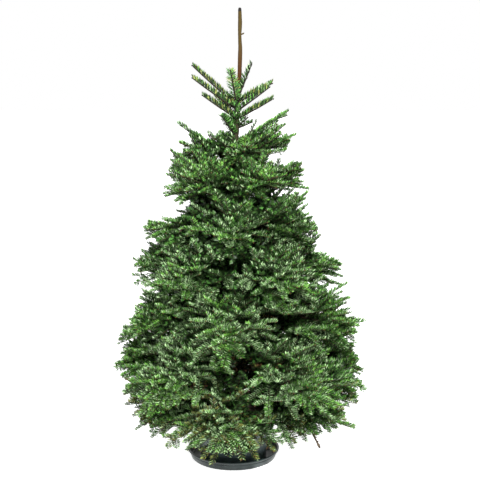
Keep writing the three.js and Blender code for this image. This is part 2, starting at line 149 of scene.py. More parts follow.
class Look:
    """A small builder of one node-based material."""

    def __init__(self, name: str) -> None:
        """Starts an empty material around one Principled shader.

        Args:
            name: The material's name.
        """
        self.material = bpy.data.materials.new(name)
        self.material.use_nodes = True
        self.tree = self.material.node_tree
        self.shader = self.tree.nodes["Principled BSDF"]
        place = self.tree.nodes.new("ShaderNodeTexCoord")
        self.place = place.outputs["Object"]

    def plain(self, **values: float | Sequence[float]) -> None:
        """Sets values on the shader's own sockets, with _ for a space in a socket's name."""
        for name, value in values.items():
            self.shader.inputs[name.replace("_", " ")].default_value = value

    def noise(self, scale: float, detail: float = 3.0, stretch: Sequence[float] = (1, 1, 1)) -> Socket:
        """A noise pattern on the object's own coordinates.

        Args:
            scale: How many waves there are in a metre.
            detail: How many finer layers there are.
            stretch: The factors that the coordinates are multiplied by first.

        Returns:
            The pattern's output socket, from 0 to 1.
        """
        mapping = self.tree.nodes.new("ShaderNodeMapping")
        mapping.inputs["Scale"].default_value = stretch
        self.tree.links.new(self.place, mapping.inputs["Vector"])
        pattern = self.tree.nodes.new("ShaderNodeTexNoise")
        pattern.inputs["Scale"].default_value = scale
        pattern.inputs["Detail"].default_value = detail
        self.tree.links.new(mapping.outputs["Vector"], pattern.inputs["Vector"])
        return pattern.outputs["Fac"]

    def ramp(self, source: Socket, stops: Sequence[tuple[float, Colour]]) -> Socket:
        """Colours dealt along a value.

        Args:
            source: The socket that gives the value.
            stops: Places from 0 to 1, each with its linear red, green and blue.

        Returns:
            The colour's output socket.
        """
        node = self.tree.nodes.new("ShaderNodeValToRGB")
        elements = node.color_ramp.elements
        while len(elements) < len(stops):
            elements.new(0.5)
        for element, (position, colour) in zip(elements, stops):
            element.position = position
            element.color = (*colour, 1.0)
        self.tree.links.new(source, node.inputs["Fac"])
        return node.outputs["Color"]

    def mixed(self, share: Socket, first: Socket, second: Socket) -> Socket:
        """One colour laid over another.

        Args:
            share: The socket that says how much of the second shows, from 0 to 1.
            first: The colour underneath.
            second: The colour on top.

        Returns:
            The colour's output socket.
        """
        node = self.tree.nodes.new("ShaderNodeMix")
        node.data_type = "RGBA"
        self.tree.links.new(share, node.inputs["Factor"])
        self.tree.links.new(first, node.inputs[6])
        self.tree.links.new(second, node.inputs[7])
        return node.outputs[2]

    def ranged(self, source: Socket, low: float, high: float, to_low: float = 0.0, to_high: float = 1.0) -> Socket:
        """A value stretched from one range to another and held inside it.

        Args:
            source: The socket that gives the value.
            low: The value that becomes to_low.
            high: The value that becomes to_high.
            to_low: Where the new range starts.
            to_high: Where the new range ends.

        Returns:
            The new value's output socket.
        """
        node = self.tree.nodes.new("ShaderNodeMapRange")
        for name, value in zip(("From Min", "From Max", "To Min", "To Max"), (low, high, to_low, to_high)):
            node.inputs[name].default_value = value
        self.tree.links.new(source, node.inputs["Value"])
        return node.outputs["Result"]

    def height(self) -> Socket:
        """The height above the floor.

        Returns:
            The height's output socket, in metres.
        """
        node = self.tree.nodes.new("ShaderNodeSeparateXYZ")
        self.tree.links.new(self.place, node.inputs["Vector"])
        return node.outputs["Z"]

    def colour(self, source: Socket) -> None:
        """Joins a colour socket to the shader."""
        self.tree.links.new(source, self.shader.inputs["Base Color"])

    def rough(self, source: Socket) -> None:
        """Joins a value socket to the shader's roughness."""
        self.tree.links.new(source, self.shader.inputs["Roughness"])

    def bump(self, source: Socket, depth: float, strength: float = 1.0) -> None:
        """Gives the surface a fine relief.

        Args:
            source: The socket that gives the relief's height from 0 to 1.
            depth: The relief's depth in metres.
            strength: How much of it shows.
        """
        node = self.tree.nodes.new("ShaderNodeBump")
        node.inputs["Distance"].default_value = depth
        node.inputs["Strength"].default_value = strength
        self.tree.links.new(source, node.inputs["Height"])
        if self.shader.inputs["Normal"].links:
            earlier = self.shader.inputs["Normal"].links[0].from_socket
            self.tree.links.new(earlier, node.inputs["Normal"])
        self.tree.links.new(node.outputs["Normal"], self.shader.inputs["Normal"])


class Shade(Enum):
    """The colours that needles are dealt out in."""

    # DEEP is mostly painted shade: the darkest needles go to the lowest light ranks and stand for the dark gaps between
    # and under needles
    DEEP = ("deep", (0.010, 0.026, 0.006))
    FOREST = ("forest", (0.036, 0.086, 0.018))
    FIR = ("fir", (0.048, 0.142, 0.026))
    FRESH = ("fresh", (0.078, 0.220, 0.036))
    BRIGHT = ("bright", (0.148, 0.335, 0.056))
    # PALE is a painted highlight on upper-side needles, partly also the pale waxy green of fir needles
    PALE = ("pale", (0.300, 0.440, 0.220))
    OLIVE = ("olive", (0.170, 0.200, 0.048))
    RUSTY = ("rusty", (0.110, 0.058, 0.024))


class Spray(Enum):
    """The looks of whole sprays: how many of their needles, out of a hundred, have which shade."""

    # shares go out from the lowest light rank up: the DEEP share is painted shade under and between the needles, the
    # PALE share a painted highlight
    SHADED = ((Shade.DEEP, 66), (Shade.FOREST, 22), (Shade.FIR, 12))
    DEEP = ((Shade.DEEP, 66), (Shade.FOREST, 22), (Shade.PALE, 12))
    FOREST = ((Shade.DEEP, 55), (Shade.FOREST, 18), (Shade.FIR, 8), (Shade.FRESH, 12), (Shade.PALE, 7))
    FIR = (
        (Shade.DEEP, 49), (Shade.FOREST, 18), (Shade.FIR, 10), (Shade.FRESH, 9), (Shade.BRIGHT, 7), (Shade.PALE, 7),
    )
    FRESH = ((Shade.DEEP, 42), (Shade.FIR, 20), (Shade.FRESH, 13), (Shade.BRIGHT, 18), (Shade.PALE, 7))
    BRIGHT = ((Shade.DEEP, 36), (Shade.FIR, 14), (Shade.FRESH, 21), (Shade.BRIGHT, 22), (Shade.PALE, 7))
    YOUNG = ((Shade.DEEP, 26), (Shade.FOREST, 12), (Shade.FIR, 28), (Shade.FRESH, 18), (Shade.OLIVE, 16))
    OLIVE = ((Shade.DEEP, 34), (Shade.RUSTY, 10), (Shade.FOREST, 18), (Shade.OLIVE, 26), (Shade.PALE, 12))
    GREY_FOREST = ((Shade.DEEP, 44), (Shade.FOREST, 20), (Shade.FIR, 4), (Shade.FRESH, 6), (Shade.PALE, 26))
    GREY_FIR = ((Shade.DEEP, 38), (Shade.FOREST, 18), (Shade.FIR, 8), (Shade.FRESH, 10), (Shade.PALE, 26))
    GREY_FRESH = ((Shade.DEEP, 34), (Shade.FIR, 16), (Shade.FRESH, 12), (Shade.BRIGHT, 14), (Shade.PALE, 24))
    LEADER = ((Shade.DEEP, 60), (Shade.FOREST, 16), (Shade.OLIVE, 12), (Shade.FRESH, 6), (Shade.PALE, 6))
    DEAD = ((Shade.DEEP, 46), (Shade.RUSTY, 48), (Shade.OLIVE, 6))


@dataclass(frozen=True)
class NeedleFinish:
    """The waxy finish of the needles of one shade."""

    shade: Shade
    roughness: float = 0.5
    specular: float = 0.3
    variation: float = 0.35
    patch: float = 120.0  # waves of variation in a metre

    def material(self) -> bpy.types.Material:
        """Mixes the shade's colour, a little lighter and darker from needle to needle.

        Returns:
            The new material.
        """
        name, colour = self.shade.value
        look = Look(f"needles_{name}")
        darker, lighter = tinted(colour, 1 - self.variation), tinted(colour, 1 + self.variation)
        pattern = look.noise(self.patch, detail=1.0)
        look.colour(look.ramp(pattern, [(0.36, darker), (0.5, colour), (0.64, lighter)]))
        look.plain(Roughness=self.roughness, Specular_IOR_Level=self.specular)
        return look.material


@dataclass(frozen=True)
class BarkFinish:
    """Grey-brown fir bark that turns tan, and then olive, up the bare leader."""

    old: Colour = (0.025, 0.021, 0.010)
    # the dark cracks of the bark, darkened further as painted shade in the relief's hollows
    cracked_and_shaded: Colour = (0.010, 0.008, 0.004)
    tan: Colour = (0.036, 0.0115, 0.0015)
    olive: Colour = (0.032, 0.021, 0.003)
    spot: Colour = (0.050, 0.026, 0.012)
    cut: Colour = (0.008, 0.007, 0.006)
    tan_between: tuple[float, float] = (1.44, 1.51)  # the heights where one colour gives way to the next
    olive_between: tuple[float, float] = (1.55, 1.68)
    cut_between: tuple[float, float] = (1.787, 1.791)

    def material(self) -> bpy.types.Material:
        """Mixes the bark, with its colours placed by height.

        Returns:
            The new material.
        """
        look = Look("fir_bark")
        coarse = look.noise(90, detail=5, stretch=(1, 1, 0.35))
        fine = look.noise(520, detail=3, stretch=(1, 1, 0.3))
        # the coarse ramp is darkest in the relief's hollows, partly as painted shade; the lightest stop of each ramp,
        # 1.5, 1.35 or 1.3 times its colour, lies on the ridges as a painted highlight
        old = look.ramp(coarse, [(0.34, self.cracked_and_shaded), (0.5, self.old), (0.72, tinted(self.old, 1.5))])
        young = look.ramp(fine, [(0.3, self.spot), (0.42, self.tan), (0.7, tinted(self.tan, 1.35))])
        top = look.ramp(fine, [(0.3, self.spot), (0.4, self.olive), (0.7, tinted(self.olive, 1.3))])
        height = look.height()
        tip = look.ramp(height, [(0.0, self.cut), (1.0, self.cut)])
        colour = look.mixed(look.ranged(height, *self.tan_between), old, young)
        colour = look.mixed(look.ranged(height, *self.olive_between), colour, top)
        look.colour(look.mixed(look.ranged(height, *self.cut_between), colour, tip))
        look.rough(look.ranged(coarse, 0.3, 0.7, 0.95, 0.8))
        look.plain(Specular_IOR_Level=0.2)
        look.bump(coarse, 1.6 * MM, 0.8)
        look.bump(fine, 0.5 * MM, 0.6)
        return look.material


@dataclass(frozen=True)
class TwigFinish:
    """The bark of boughs and twigs."""

    name: str
    light: Colour
    dark: Colour
    scale: float = 160

    def material(self) -> bpy.types.Material:
        """Mixes a streaked, slightly rough bark.

        Returns:
            The new material.
        """
        look = Look(self.name)
        streaks = look.noise(self.scale, detail=4)
        look.colour(look.ramp(streaks, [(0.36, self.dark), (0.6, self.light)]))
        look.plain(Roughness=0.88, Specular_IOR_Level=0.2)
        look.bump(streaks, 0.8 * MM, 0.7)
        return look.material


@dataclass(frozen=True)
class PlasticFinish:
    """Moulded dark plastic, dulled by handling and by dust from the soil."""

    name: str
    colour: Colour
    dust: Colour
    roughness: tuple[float, float] = (0.34, 0.56)

    def material(self) -> bpy.types.Material:
        """Mixes a fine moulded grain under soft clouds of dust.

        Returns:
            The new material.
        """
        look = Look(self.name)
        clouds = look.noise(14, detail=5)
        scuffs = look.noise(120, detail=4, stretch=(1, 1, 0.2))
        grain = look.noise(1800, detail=1)
        dusty = look.ramp(clouds, [(0.42, self.colour), (0.75, self.dust)])
        worn = look.ramp(clouds, [(0.3, tinted(self.colour, 0.8)), (0.7, tinted(self.colour, 1.25))])
        look.colour(look.mixed(look.ranged(scuffs, 0.45, 0.8, 0.15, 0.85), worn, dusty))
        look.rough(look.ranged(clouds, 0.3, 0.75, *self.roughness))
        look.bump(grain, 0.12 * MM, 0.4)
        return look.material


@dataclass(frozen=True)
class SoilFinish:
    """Dark, damp potting soil."""

    dark: Colour = (0.012, 0.008, 0.006)
    light: Colour = (0.075, 0.048, 0.030)

    def material(self) -> bpy.types.Material:
        """Mixes a soil that is crumbly at every scale.

        Returns:
            The new material.
        """
        look = Look("potting_soil")
        crumbs = look.noise(160, detail=8)
        look.colour(look.ramp(crumbs, [(0.35, self.dark), (0.68, self.light)]))
        look.plain(Roughness=0.95)
        look.bump(crumbs, 3 * MM, 1.0)
        return look.material


# ---------------------------------------------------------------- meshes


class Bench:
    """The places where pieces are shaped: by operators, or straight from arrays."""

    @staticmethod
    def from_arrays(name: str, vertices: np.ndarray, faces: np.ndarray) -> bpy.types.Object:
        """One object from rows of points and rows of corner numbers.

        Args:
            name: The object's name.
            vertices: Rows of x, y and z.
            faces: Rows of three or four corner numbers.

        Returns:
            The new object, at the origin.
        """
        mesh = bpy.data.meshes.new(name)
        corners = faces.shape[1]
        mesh.vertices.add(len(vertices))
        mesh.vertices.foreach_set("co", vertices.astype(np.float32).ravel())
        mesh.loops.add(faces.size)
        mesh.loops.foreach_set("vertex_index", faces.astype(np.int32).ravel())
        mesh.polygons.add(len(faces))
        mesh.polygons.foreach_set("loop_start", np.arange(len(faces), dtype=np.int32) * corners)
        mesh.update(calc_edges=True)
        thing = bpy.data.objects.new(name, mesh)
        bpy.context.scene.collection.objects.link(thing)
        return thing

    @staticmethod
    def only(thing: bpy.types.Object) -> None:
        """Makes one object the only selected one and the active one.

        Args:
            thing: The object.
        """
        bpy.ops.object.select_all(action="DESELECT")
        thing.select_set(True)
        bpy.context.view_layer.objects.active = thing

    @classmethod
    def apply_all(cls, thing: bpy.types.Object) -> None:
        """Applies every modifier of an object, in order.

        Args:
            thing: The object.
        """
        cls.only(thing)
        for modifier in list(thing.modifiers):
            bpy.ops.object.modifier_apply(modifier=modifier.name)

    @classmethod
    def ringed(cls, name: str, rings: Sequence[tuple[float, float, float, float]], sides: int) -> bpy.types.Object:
        """A closed round body drawn up ring by ring, each ring extruded from the last.

        Args:
            name: The object's name.
            rings: Each ring's centre x, y, z and its radius.
            sides: How many corners a ring has.

        Returns:
            The new object, at the origin, with its first and last rings closed.
        """
        bpy.ops.object.select_all(action="DESELECT")
        x, y, z, radius = rings[0]
        bpy.ops.mesh.primitive_circle_add(vertices=sides, radius=radius, fill_type="NGON", location=(0, 0, 0))
        thing = bpy.context.object
        thing.name = thing.data.name = name
        thing.data.transform(Matrix.Translation((x, y, z)))
        bpy.ops.object.mode_set(mode="EDIT")
        bpy.ops.mesh.select_all(action="SELECT")
        for (old_x, old_y, old_z, old), (x, y, z, new) in zip(rings, rings[1:]):
            step = (x - old_x, y - old_y, z - old_z)
            bpy.ops.mesh.extrude_region_move(TRANSFORM_OT_translate={"value": step})
            bpy.ops.transform.resize(value=(new / old, new / old, 1), center_override=(x, y, z))
        bpy.ops.mesh.select_all(action="SELECT")
        bpy.ops.mesh.normals_make_consistent(inside=False)
        bpy.ops.object.mode_set(mode="OBJECT")
        return thing


def dressed(piece: bpy.types.Object, material: bpy.types.Material, nodes: Sequence[str]) -> None:
    """Gives a finished piece its material and its place on the body.

    Args:
        piece: The finished piece.
        material: The material it wears.
        nodes: The solids that it stands for.
    """
    piece.data.materials.clear()
    piece.data.materials.append(material)
    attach(piece, BODY)
    if nodes:
        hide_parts(*nodes)
    log.info("%s: %d faces", piece.name, len(piece.data.polygons))


def ring_faces(rings: int, sides: int) -> np.ndarray:
    """The faces between the rings of a round limb.

    Args:
        rings: How many rings there are.
        sides: How many corners a ring has.

    Returns:
        The faces as rows of four corner numbers.
    """
    row = np.arange(rings - 1)[:, None] * sides
    column = np.arange(sides)[None, :]
    after = (column + 1) % sides
    faces = np.stack([row + column, row + after, row + sides + after, row + sides + column], axis=-1)
    return faces.reshape(-1, 4)


def tube(
    points: np.ndarray, radii: np.ndarray, sides: int, seed: float, relief: float
) -> tuple[np.ndarray, np.ndarray]:
    """A round limb along a line of points.

    Args:
        points: Rows of x, y and z.
        radii: The radius at each point.
        sides: How many corners a ring has.
        seed: The seed of the bark's relief.
        relief: How far the bark stands out, as a share of the radius.

    Returns:
        The vertices, and the faces as rows of four corner numbers.
    """
    along = unit(np.gradient(points, axis=0))
    reference = np.where(np.abs(along[:, 2:3]) > 0.9, np.array([[0.0, 1.0, 0.0]]), UP[None, :])
    across = unit(np.cross(reference, along))
    above = np.cross(along, across)
    turn = np.arange(sides) * 2 * math.pi / sides
    ring = np.cos(turn)[None, :, None] * across[:, None, :] + np.sin(turn)[None, :, None] * above[:, None, :]
    knots = np.random.default_rng(int(seed * 97) + 5).random((len(points), sides))
    swell = 1 + relief * (2 * knots - 1)
    vertices = points[:, None, :] + ring * (radii[:, None] * swell)[:, :, None]
    return vertices.reshape(-1, 3), ring_faces(len(points), sides)


@dataclass
class Joined:
    """Many small meshes that are gathered to become one piece."""

    vertices: list[np.ndarray] = field(default_factory=list)
    faces: list[np.ndarray] = field(default_factory=list)
    count: int = 0

    def add(self, vertices: np.ndarray, faces: np.ndarray) -> None:
        """Adds one small mesh.

        Args:
            vertices: Rows of x, y and z.
            faces: Rows of its own corner numbers.
        """
        self.vertices.append(vertices)
        self.faces.append(faces + self.count)
        self.count += len(vertices)

    def build(self, name: str) -> bpy.types.Object:
        """Makes the one object."""
        return Bench.from_arrays(name, np.concatenate(self.vertices), np.concatenate(self.faces))


# ---------------------------------------------------------------- trunk


@dataclass(frozen=True)
class TrunkRow:
    """The trunk's centre and radius at a height, in millimetres."""

    z: float
    x: float
    y: float
    radius: float


@dataclass
class Trunk:
    """The whole trunk, from its flat cut in the pot to the bare tip of the leader."""

    rows: tuple[TrunkRow, ...] = (
        TrunkRow(12, 0, 0, 38),
        TrunkRow(70, 0, 0, 31),
        TrunkRow(210, 1, 1, 28),
        TrunkRow(480, 3, 2, 25),
        TrunkRow(800, 6, 2, 20),
        TrunkRow(1100, 8, 1, 14.5),
        TrunkRow(1300, 10, 0, 11),
        TrunkRow(1430, 15, 0, 9.5),
        TrunkRow(1540, 25, 0, 8.6),
        TrunkRow(1650, 28, 0, 8.2),
        TrunkRow(1690, 26, 0, 6.6),
        TrunkRow(1745, 27, 0, 8.4),
        TrunkRow(1804, 26, 0, 6),
    )
    ring_step: float = 12 * MM
    sides: int = 16
    bark_depth: float = 1.7 * MM
    collar: float = 2.2 * MM  # how far the trunk swells where a whorl leaves it
    leader_nodes: tuple[float, ...] = (1.33, 1.385, 1.425, 1.455)  # where the slim shoots' whorls leave it
    stub_height: float = 1.702
    stub_length: float = 11 * MM
    stub_radii: tuple[float, ...] = (3.4, 3.2, 2.6, 2.7, 3.1, 2.4, 0.6)  # in millimetres, from its root out

    def at(self, z: Values) -> tuple[np.ndarray, np.ndarray, np.ndarray]:
        """The trunk's place and thickness at a height, all in metres.

        Args:
            z: The height, or rows of heights.

        Returns:
            The centre's x, its y and the radius.
        """
        heights = [row.z * MM for row in self.rows]
        columns = ([row.x for row in self.rows], [row.y for row in self.rows], [row.radius for row in self.rows])
        return tuple(np.interp(z, heights, np.array(column) * MM) for column in columns)

    def spot(self, height: float) -> tuple[np.ndarray, float]:
        """The trunk's centre as a point, and its radius, at one height."""
        x, y, radius = (float(value) for value in self.at(height))
        return np.array([x, y, height]), radius

    def build(self, whorl_heights: Sequence[float]) -> bpy.types.Object:
        """The trunk with its bark's relief and the collars of its whorls.

        Args:
            whorl_heights: The heights in metres where boughs leave the trunk.

        Returns:
            The finished trunk.
        """
        foot, tip = self.rows[0].z * MM, self.rows[-1].z * MM
        heights = np.linspace(foot, tip, int((tip - foot) / self.ring_step))
        x, y, radius = self.at(heights)
        rings = list(zip(x, y, heights, radius))
        trunk = Bench.ringed("fir_trunk", rings, self.sides)
        smooth = trunk.modifiers.new("smooth", "SUBSURF")
        smooth.levels = smooth.render_levels = 1
        smooth.boundary_smooth = "PRESERVE_CORNERS"
        Bench.apply_all(trunk)
        self._carve(trunk, np.array([*whorl_heights, *self.leader_nodes]))
        bpy.ops.object.shade_smooth()
        return trunk

    def _carve(self, trunk: bpy.types.Object, nodes: np.ndarray) -> None:
        """Moves the trunk's surface in and out as its bark, its bud scars and its collars do.

        Args:
            trunk: The smooth trunk.
            nodes: The heights in metres where something leaves it, and its collars lie.
        """
        count = len(trunk.data.vertices)
        places = np.empty(count * 3)
        trunk.data.vertices.foreach_get("co", places)
        places = places.reshape(-1, 3)
        centre_x, centre_y, radius = self.at(places[:, 2])
        outward = places[:, :2] - np.stack([centre_x, centre_y], axis=1)
        outward = outward / np.maximum(np.linalg.norm(outward, axis=1, keepdims=True), 1e-6)
        nearest = np.abs(places[:, 2][:, None] - nodes[None, :]).min(axis=1)
        collar = self.collar * np.exp(-((nearest / 0.014) ** 2)) * np.clip(radius / 0.01, 0.4, 1)
        coarse = np.array([noise.fractal(Vector((x * 55, y * 55, z * 22)), 1.0, 2.0, 4) for x, y, z in places])
        scars = np.array([noise.noise(Vector((x * 160, y * 160, z * 130))) for x, y, z in places])
        depth = self.bark_depth * np.clip(radius / 0.02, 0.25, 1)
        rise = collar + depth * coarse + 0.45 * depth * scars
        foot, tip = self.rows[0].z * MM, self.rows[-1].z * MM
        inside = (places[:, 2] > foot + 1e-4) & (places[:, 2] < tip - 1e-4)
        places[:, :2] += outward * (rise * inside)[:, None]
        trunk.data.vertices.foreach_set("co", places.ravel())
        trunk.data.update()

    def bud_stub(self) -> bpy.types.Object:
        """The short dry stub that stands off the leader's right side.

        Returns:
            The finished stub.
        """
        (x, y, _), radius = self.spot(self.stub_height)
        radii = np.array(self.stub_radii) * MM
        share = np.linspace(0, 1, len(radii))
        out = radius * 0.5 + share * (self.stub_length + radius * 0.4)
        forward, climb = np.full(len(radii), y - 2 * MM), share**2 * 6 * MM
        points = np.stack([x + out, forward, self.stub_height + climb], axis=1)
        return Bench.from_arrays("leader_bud_stub", *tube(points, radii, 10, seed=3, relief=0.12))


# ---------------------------------------------------------------- the crown's spaces


@dataclass(frozen=True)
class Whorl:
    """One whorl of boughs, in metres, with its angles in degrees."""

    height: float
    count: int  # of its boughs
    heading: float  # of its first bough; 0 is +X and 270 the front
    reach: float
    lift: float  # how far the tips stand above the height where they leave the trunk
    arch: float  # how far the middle bows up
    fuller: float  # how much further the boughs to +X reach than the mean

    def height_at(self, radius: Values) -> Values:
        """The height of the whorl's boughs at a distance from the trunk."""
        share = np.minimum(radius / self.reach, 1.15)
        return self.height + self.lift * share + self.arch * np.sin(np.pi * np.minimum(share, 1))

    def nearness(self, angle: Values) -> Values:
        """How near a heading is to the whorl's boughs: 1 along a bough and -1 midway between two."""
        return np.cos(self.count * (angle - math.radians(self.heading)))


@dataclass(frozen=True)
class Hollow:
    """A place in the crown that twigs keep out of: its centre and how far it reaches along x, y and z."""

    centre: tuple[float, float, float]
    reach: tuple[float, float, float]

    def takes(self, points: np.ndarray) -> np.ndarray:
        """Whether points lie in it."""
        return np.sum(((points - np.array(self.centre)) / np.array(self.reach)) ** 2, axis=1) < 1


@dataclass(frozen=True)
class LongSpray:
    """A spray that stands out of the crown's even outline.

    Attributes:
        tier: The whorl of the bough that it leaves, counted from the lowest.
        index: That bough's place in its whorl.
        share: Where it leaves the bough.
        heading: The heading of its tip from the trunk, in degrees.
        reach: The tip's distance from the trunk.
        height: The tip's height.
        look: How its needles look, or None for the look that its place gives it.
        single: Whether it is one long shoot without side shoots.
    """

    tier: int
    index: int
    share: float
    heading: float
    reach: float
    height: float
    look: Spray | None = None
    single: bool = False


# one row for each: tier, index, share, heading, reach and height, and then look and single where they differ
LONG_SPRAYS = tuple(
    LongSpray(*row)
    for row in (
        # beside the pot, at its left and its right
        (0, 3, 0.30, 240, 0.325, 0.125), (0, 2, 0.34, 222, 0.345, 0.118), (0, 2, 0.44, 212, 0.370, 0.145),
        (0, 3, 0.40, 246, 0.345, 0.150), (0, 2, 0.30, 205, 0.300, 0.130), (0, 3, 0.46, 232, 0.355, 0.165, Spray.OLIVE),
        (0, 2, 0.40, 200, 0.350, 0.170), (0, 3, 0.26, 298, 0.315, 0.120), (0, 4, 0.32, 310, 0.335, 0.125),
        (0, 4, 0.42, 318, 0.365, 0.150), (0, 4, 0.30, 322, 0.310, 0.140, Spray.OLIVE), (0, 4, 0.36, 334, 0.330, 0.150),
        (0, 3, 0.36, 304, 0.340, 0.160),
        # over the front of the pot
        (0, 3, 0.42, 250, 0.300, 0.092, Spray.OLIVE), (0, 3, 0.50, 258, 0.325, 0.088, Spray.OLIVE),
        (0, 3, 0.34, 266, 0.300, 0.112, Spray.FOREST), (0, 3, 0.40, 277, 0.310, 0.104, Spray.OLIVE),
        (0, 3, 0.52, 286, 0.305, 0.098, Spray.OLIVE),
        # single tips at the right, from the lowest up
        (0, 4, 0.62, 350, 0.490, 0.138), (1, 0, 0.62, 356, 0.500, 0.260), (0, 0, 0.62, 5, 0.507, 0.222),
        (1, 0, 0.64, 2, 0.535, 0.272, None, True), (0, 0, 0.62, 8, 0.480, 0.215), (1, 0, 0.56, 0, 0.490, 0.240),
        (1, 0, 0.60, 4, 0.525, 0.300), (1, 4, 0.66, 346, 0.500, 0.330), (1, 0, 0.62, 8, 0.505, 0.345),
        (2, 4, 0.62, 357, 0.522, 0.566, None, True), (2, 4, 0.56, 355, 0.500, 0.552, None, True),
        (1, 0, 0.58, 352, 0.480, 0.288), (1, 0, 0.66, 2, 0.488, 0.400),
        # and at the left
        (0, 2, 0.62, 190, 0.405, 0.190), (1, 2, 0.54, 186, 0.435, 0.280), (0, 2, 0.60, 184, 0.437, 0.222),
        (1, 2, 0.50, 179, 0.437, 0.250), (0, 2, 0.60, 195, 0.395, 0.142), (1, 2, 0.62, 181, 0.478, 0.372, None, True),
        (1, 2, 0.58, 178, 0.455, 0.330), (1, 2, 0.60, 184, 0.470, 0.392), (1, 2, 0.46, 194, 0.440, 0.300),
        (1, 2, 0.66, 172, 0.465, 0.410), (0, 2, 0.54, 184, 0.415, 0.250), (0, 1, 0.54, 176, 0.410, 0.225),
        (1, 2, 0.60, 190, 0.455, 0.360), (0, 1, 0.60, 180, 0.430, 0.262), (2, 2, 0.60, 190, 0.455, 0.505),
        (2, 2, 0.60, 182, 0.460, 0.470), (0, 2, 0.56, 196, 0.400, 0.215), (3, 2, 0.70, 186, 0.400, 0.800),
        (3, 2, 0.70, 178, 0.395, 0.715),
        # between the third and the second whorl from the top, at the right and at the left
        (4, 4, 0.40, 356, 0.292, 1.086), (5, 0, 0.50, 6, 0.296, 1.100), (4, 0, 0.40, 16, 0.290, 1.060),
        (5, 2, 0.50, 176, 0.272, 1.104), (5, 3, 0.50, 196, 0.276, 1.090), (5, 2, 0.60, 166, 0.270, 1.150),
        (5, 2, 0.40, 182, 0.262, 1.072), (5, 3, 0.40, 204, 0.240, 1.064), (5, 2, 0.30, 188, 0.222, 1.062),
        # the neck between the two highest whorls, and the tips beside it
        (6, 2, 0.06, 184, 0.213, 1.352, Spray.FIR, True), (6, 2, 0.10, 188, 0.170, 1.320, Spray.FIR, True),
        (6, 0, 0.10, 2, 0.205, 1.250, Spray.FIR, True), (5, 2, 0.40, 184, 0.246, 1.250),
        (5, 2, 0.46, 172, 0.240, 1.226), (5, 3, 0.40, 198, 0.240, 1.214), (5, 3, 0.30, 226, 0.190, 1.250),
        (5, 3, 0.36, 248, 0.200, 1.225), (5, 3, 0.40, 264, 0.200, 1.195), (5, 4, 0.30, 316, 0.190, 1.245),
        (5, 4, 0.36, 294, 0.200, 1.215), (5, 4, 0.40, 278, 0.200, 1.235), (5, 0, 0.30, 2, 0.268, 1.200),
        (6, 0, 0.24, 2, 0.243, 1.312), (5, 1, 0.34, 60, 0.190, 1.240), (5, 1, 0.34, 110, 0.190, 1.240),
        (5, 2, 0.34, 140, 0.190, 1.240),
        # the broad feathers right of the neck, in its front
        (6, 0, 0.06, 352, 0.205, 1.352), (6, 3, 0.20, 330, 0.170, 1.325), (6, 3, 0.16, 318, 0.130, 1.315),
        (6, 0, 0.10, 344, 0.190, 1.318),
        # pairs that close the skirt, at the left of the pot and at the right
        (0, 2, 0.44, 222, 0.352, 0.200), (0, 3, 0.44, 230, 0.350, 0.188), (0, 0, 0.62, 352, 0.505, 0.246),
        (0, 0, 0.58, 358, 0.500, 0.232),
        # three that close the crown's front at the right, and one at the left below the top
        (2, 4, 0.36, 294, 0.372, 0.692), (2, 4, 0.40, 299, 0.380, 0.674), (1, 4, 0.50, 338, 0.405, 0.488),
        (5, 2, 0.12, 200, 0.115, 1.228),
    )
)


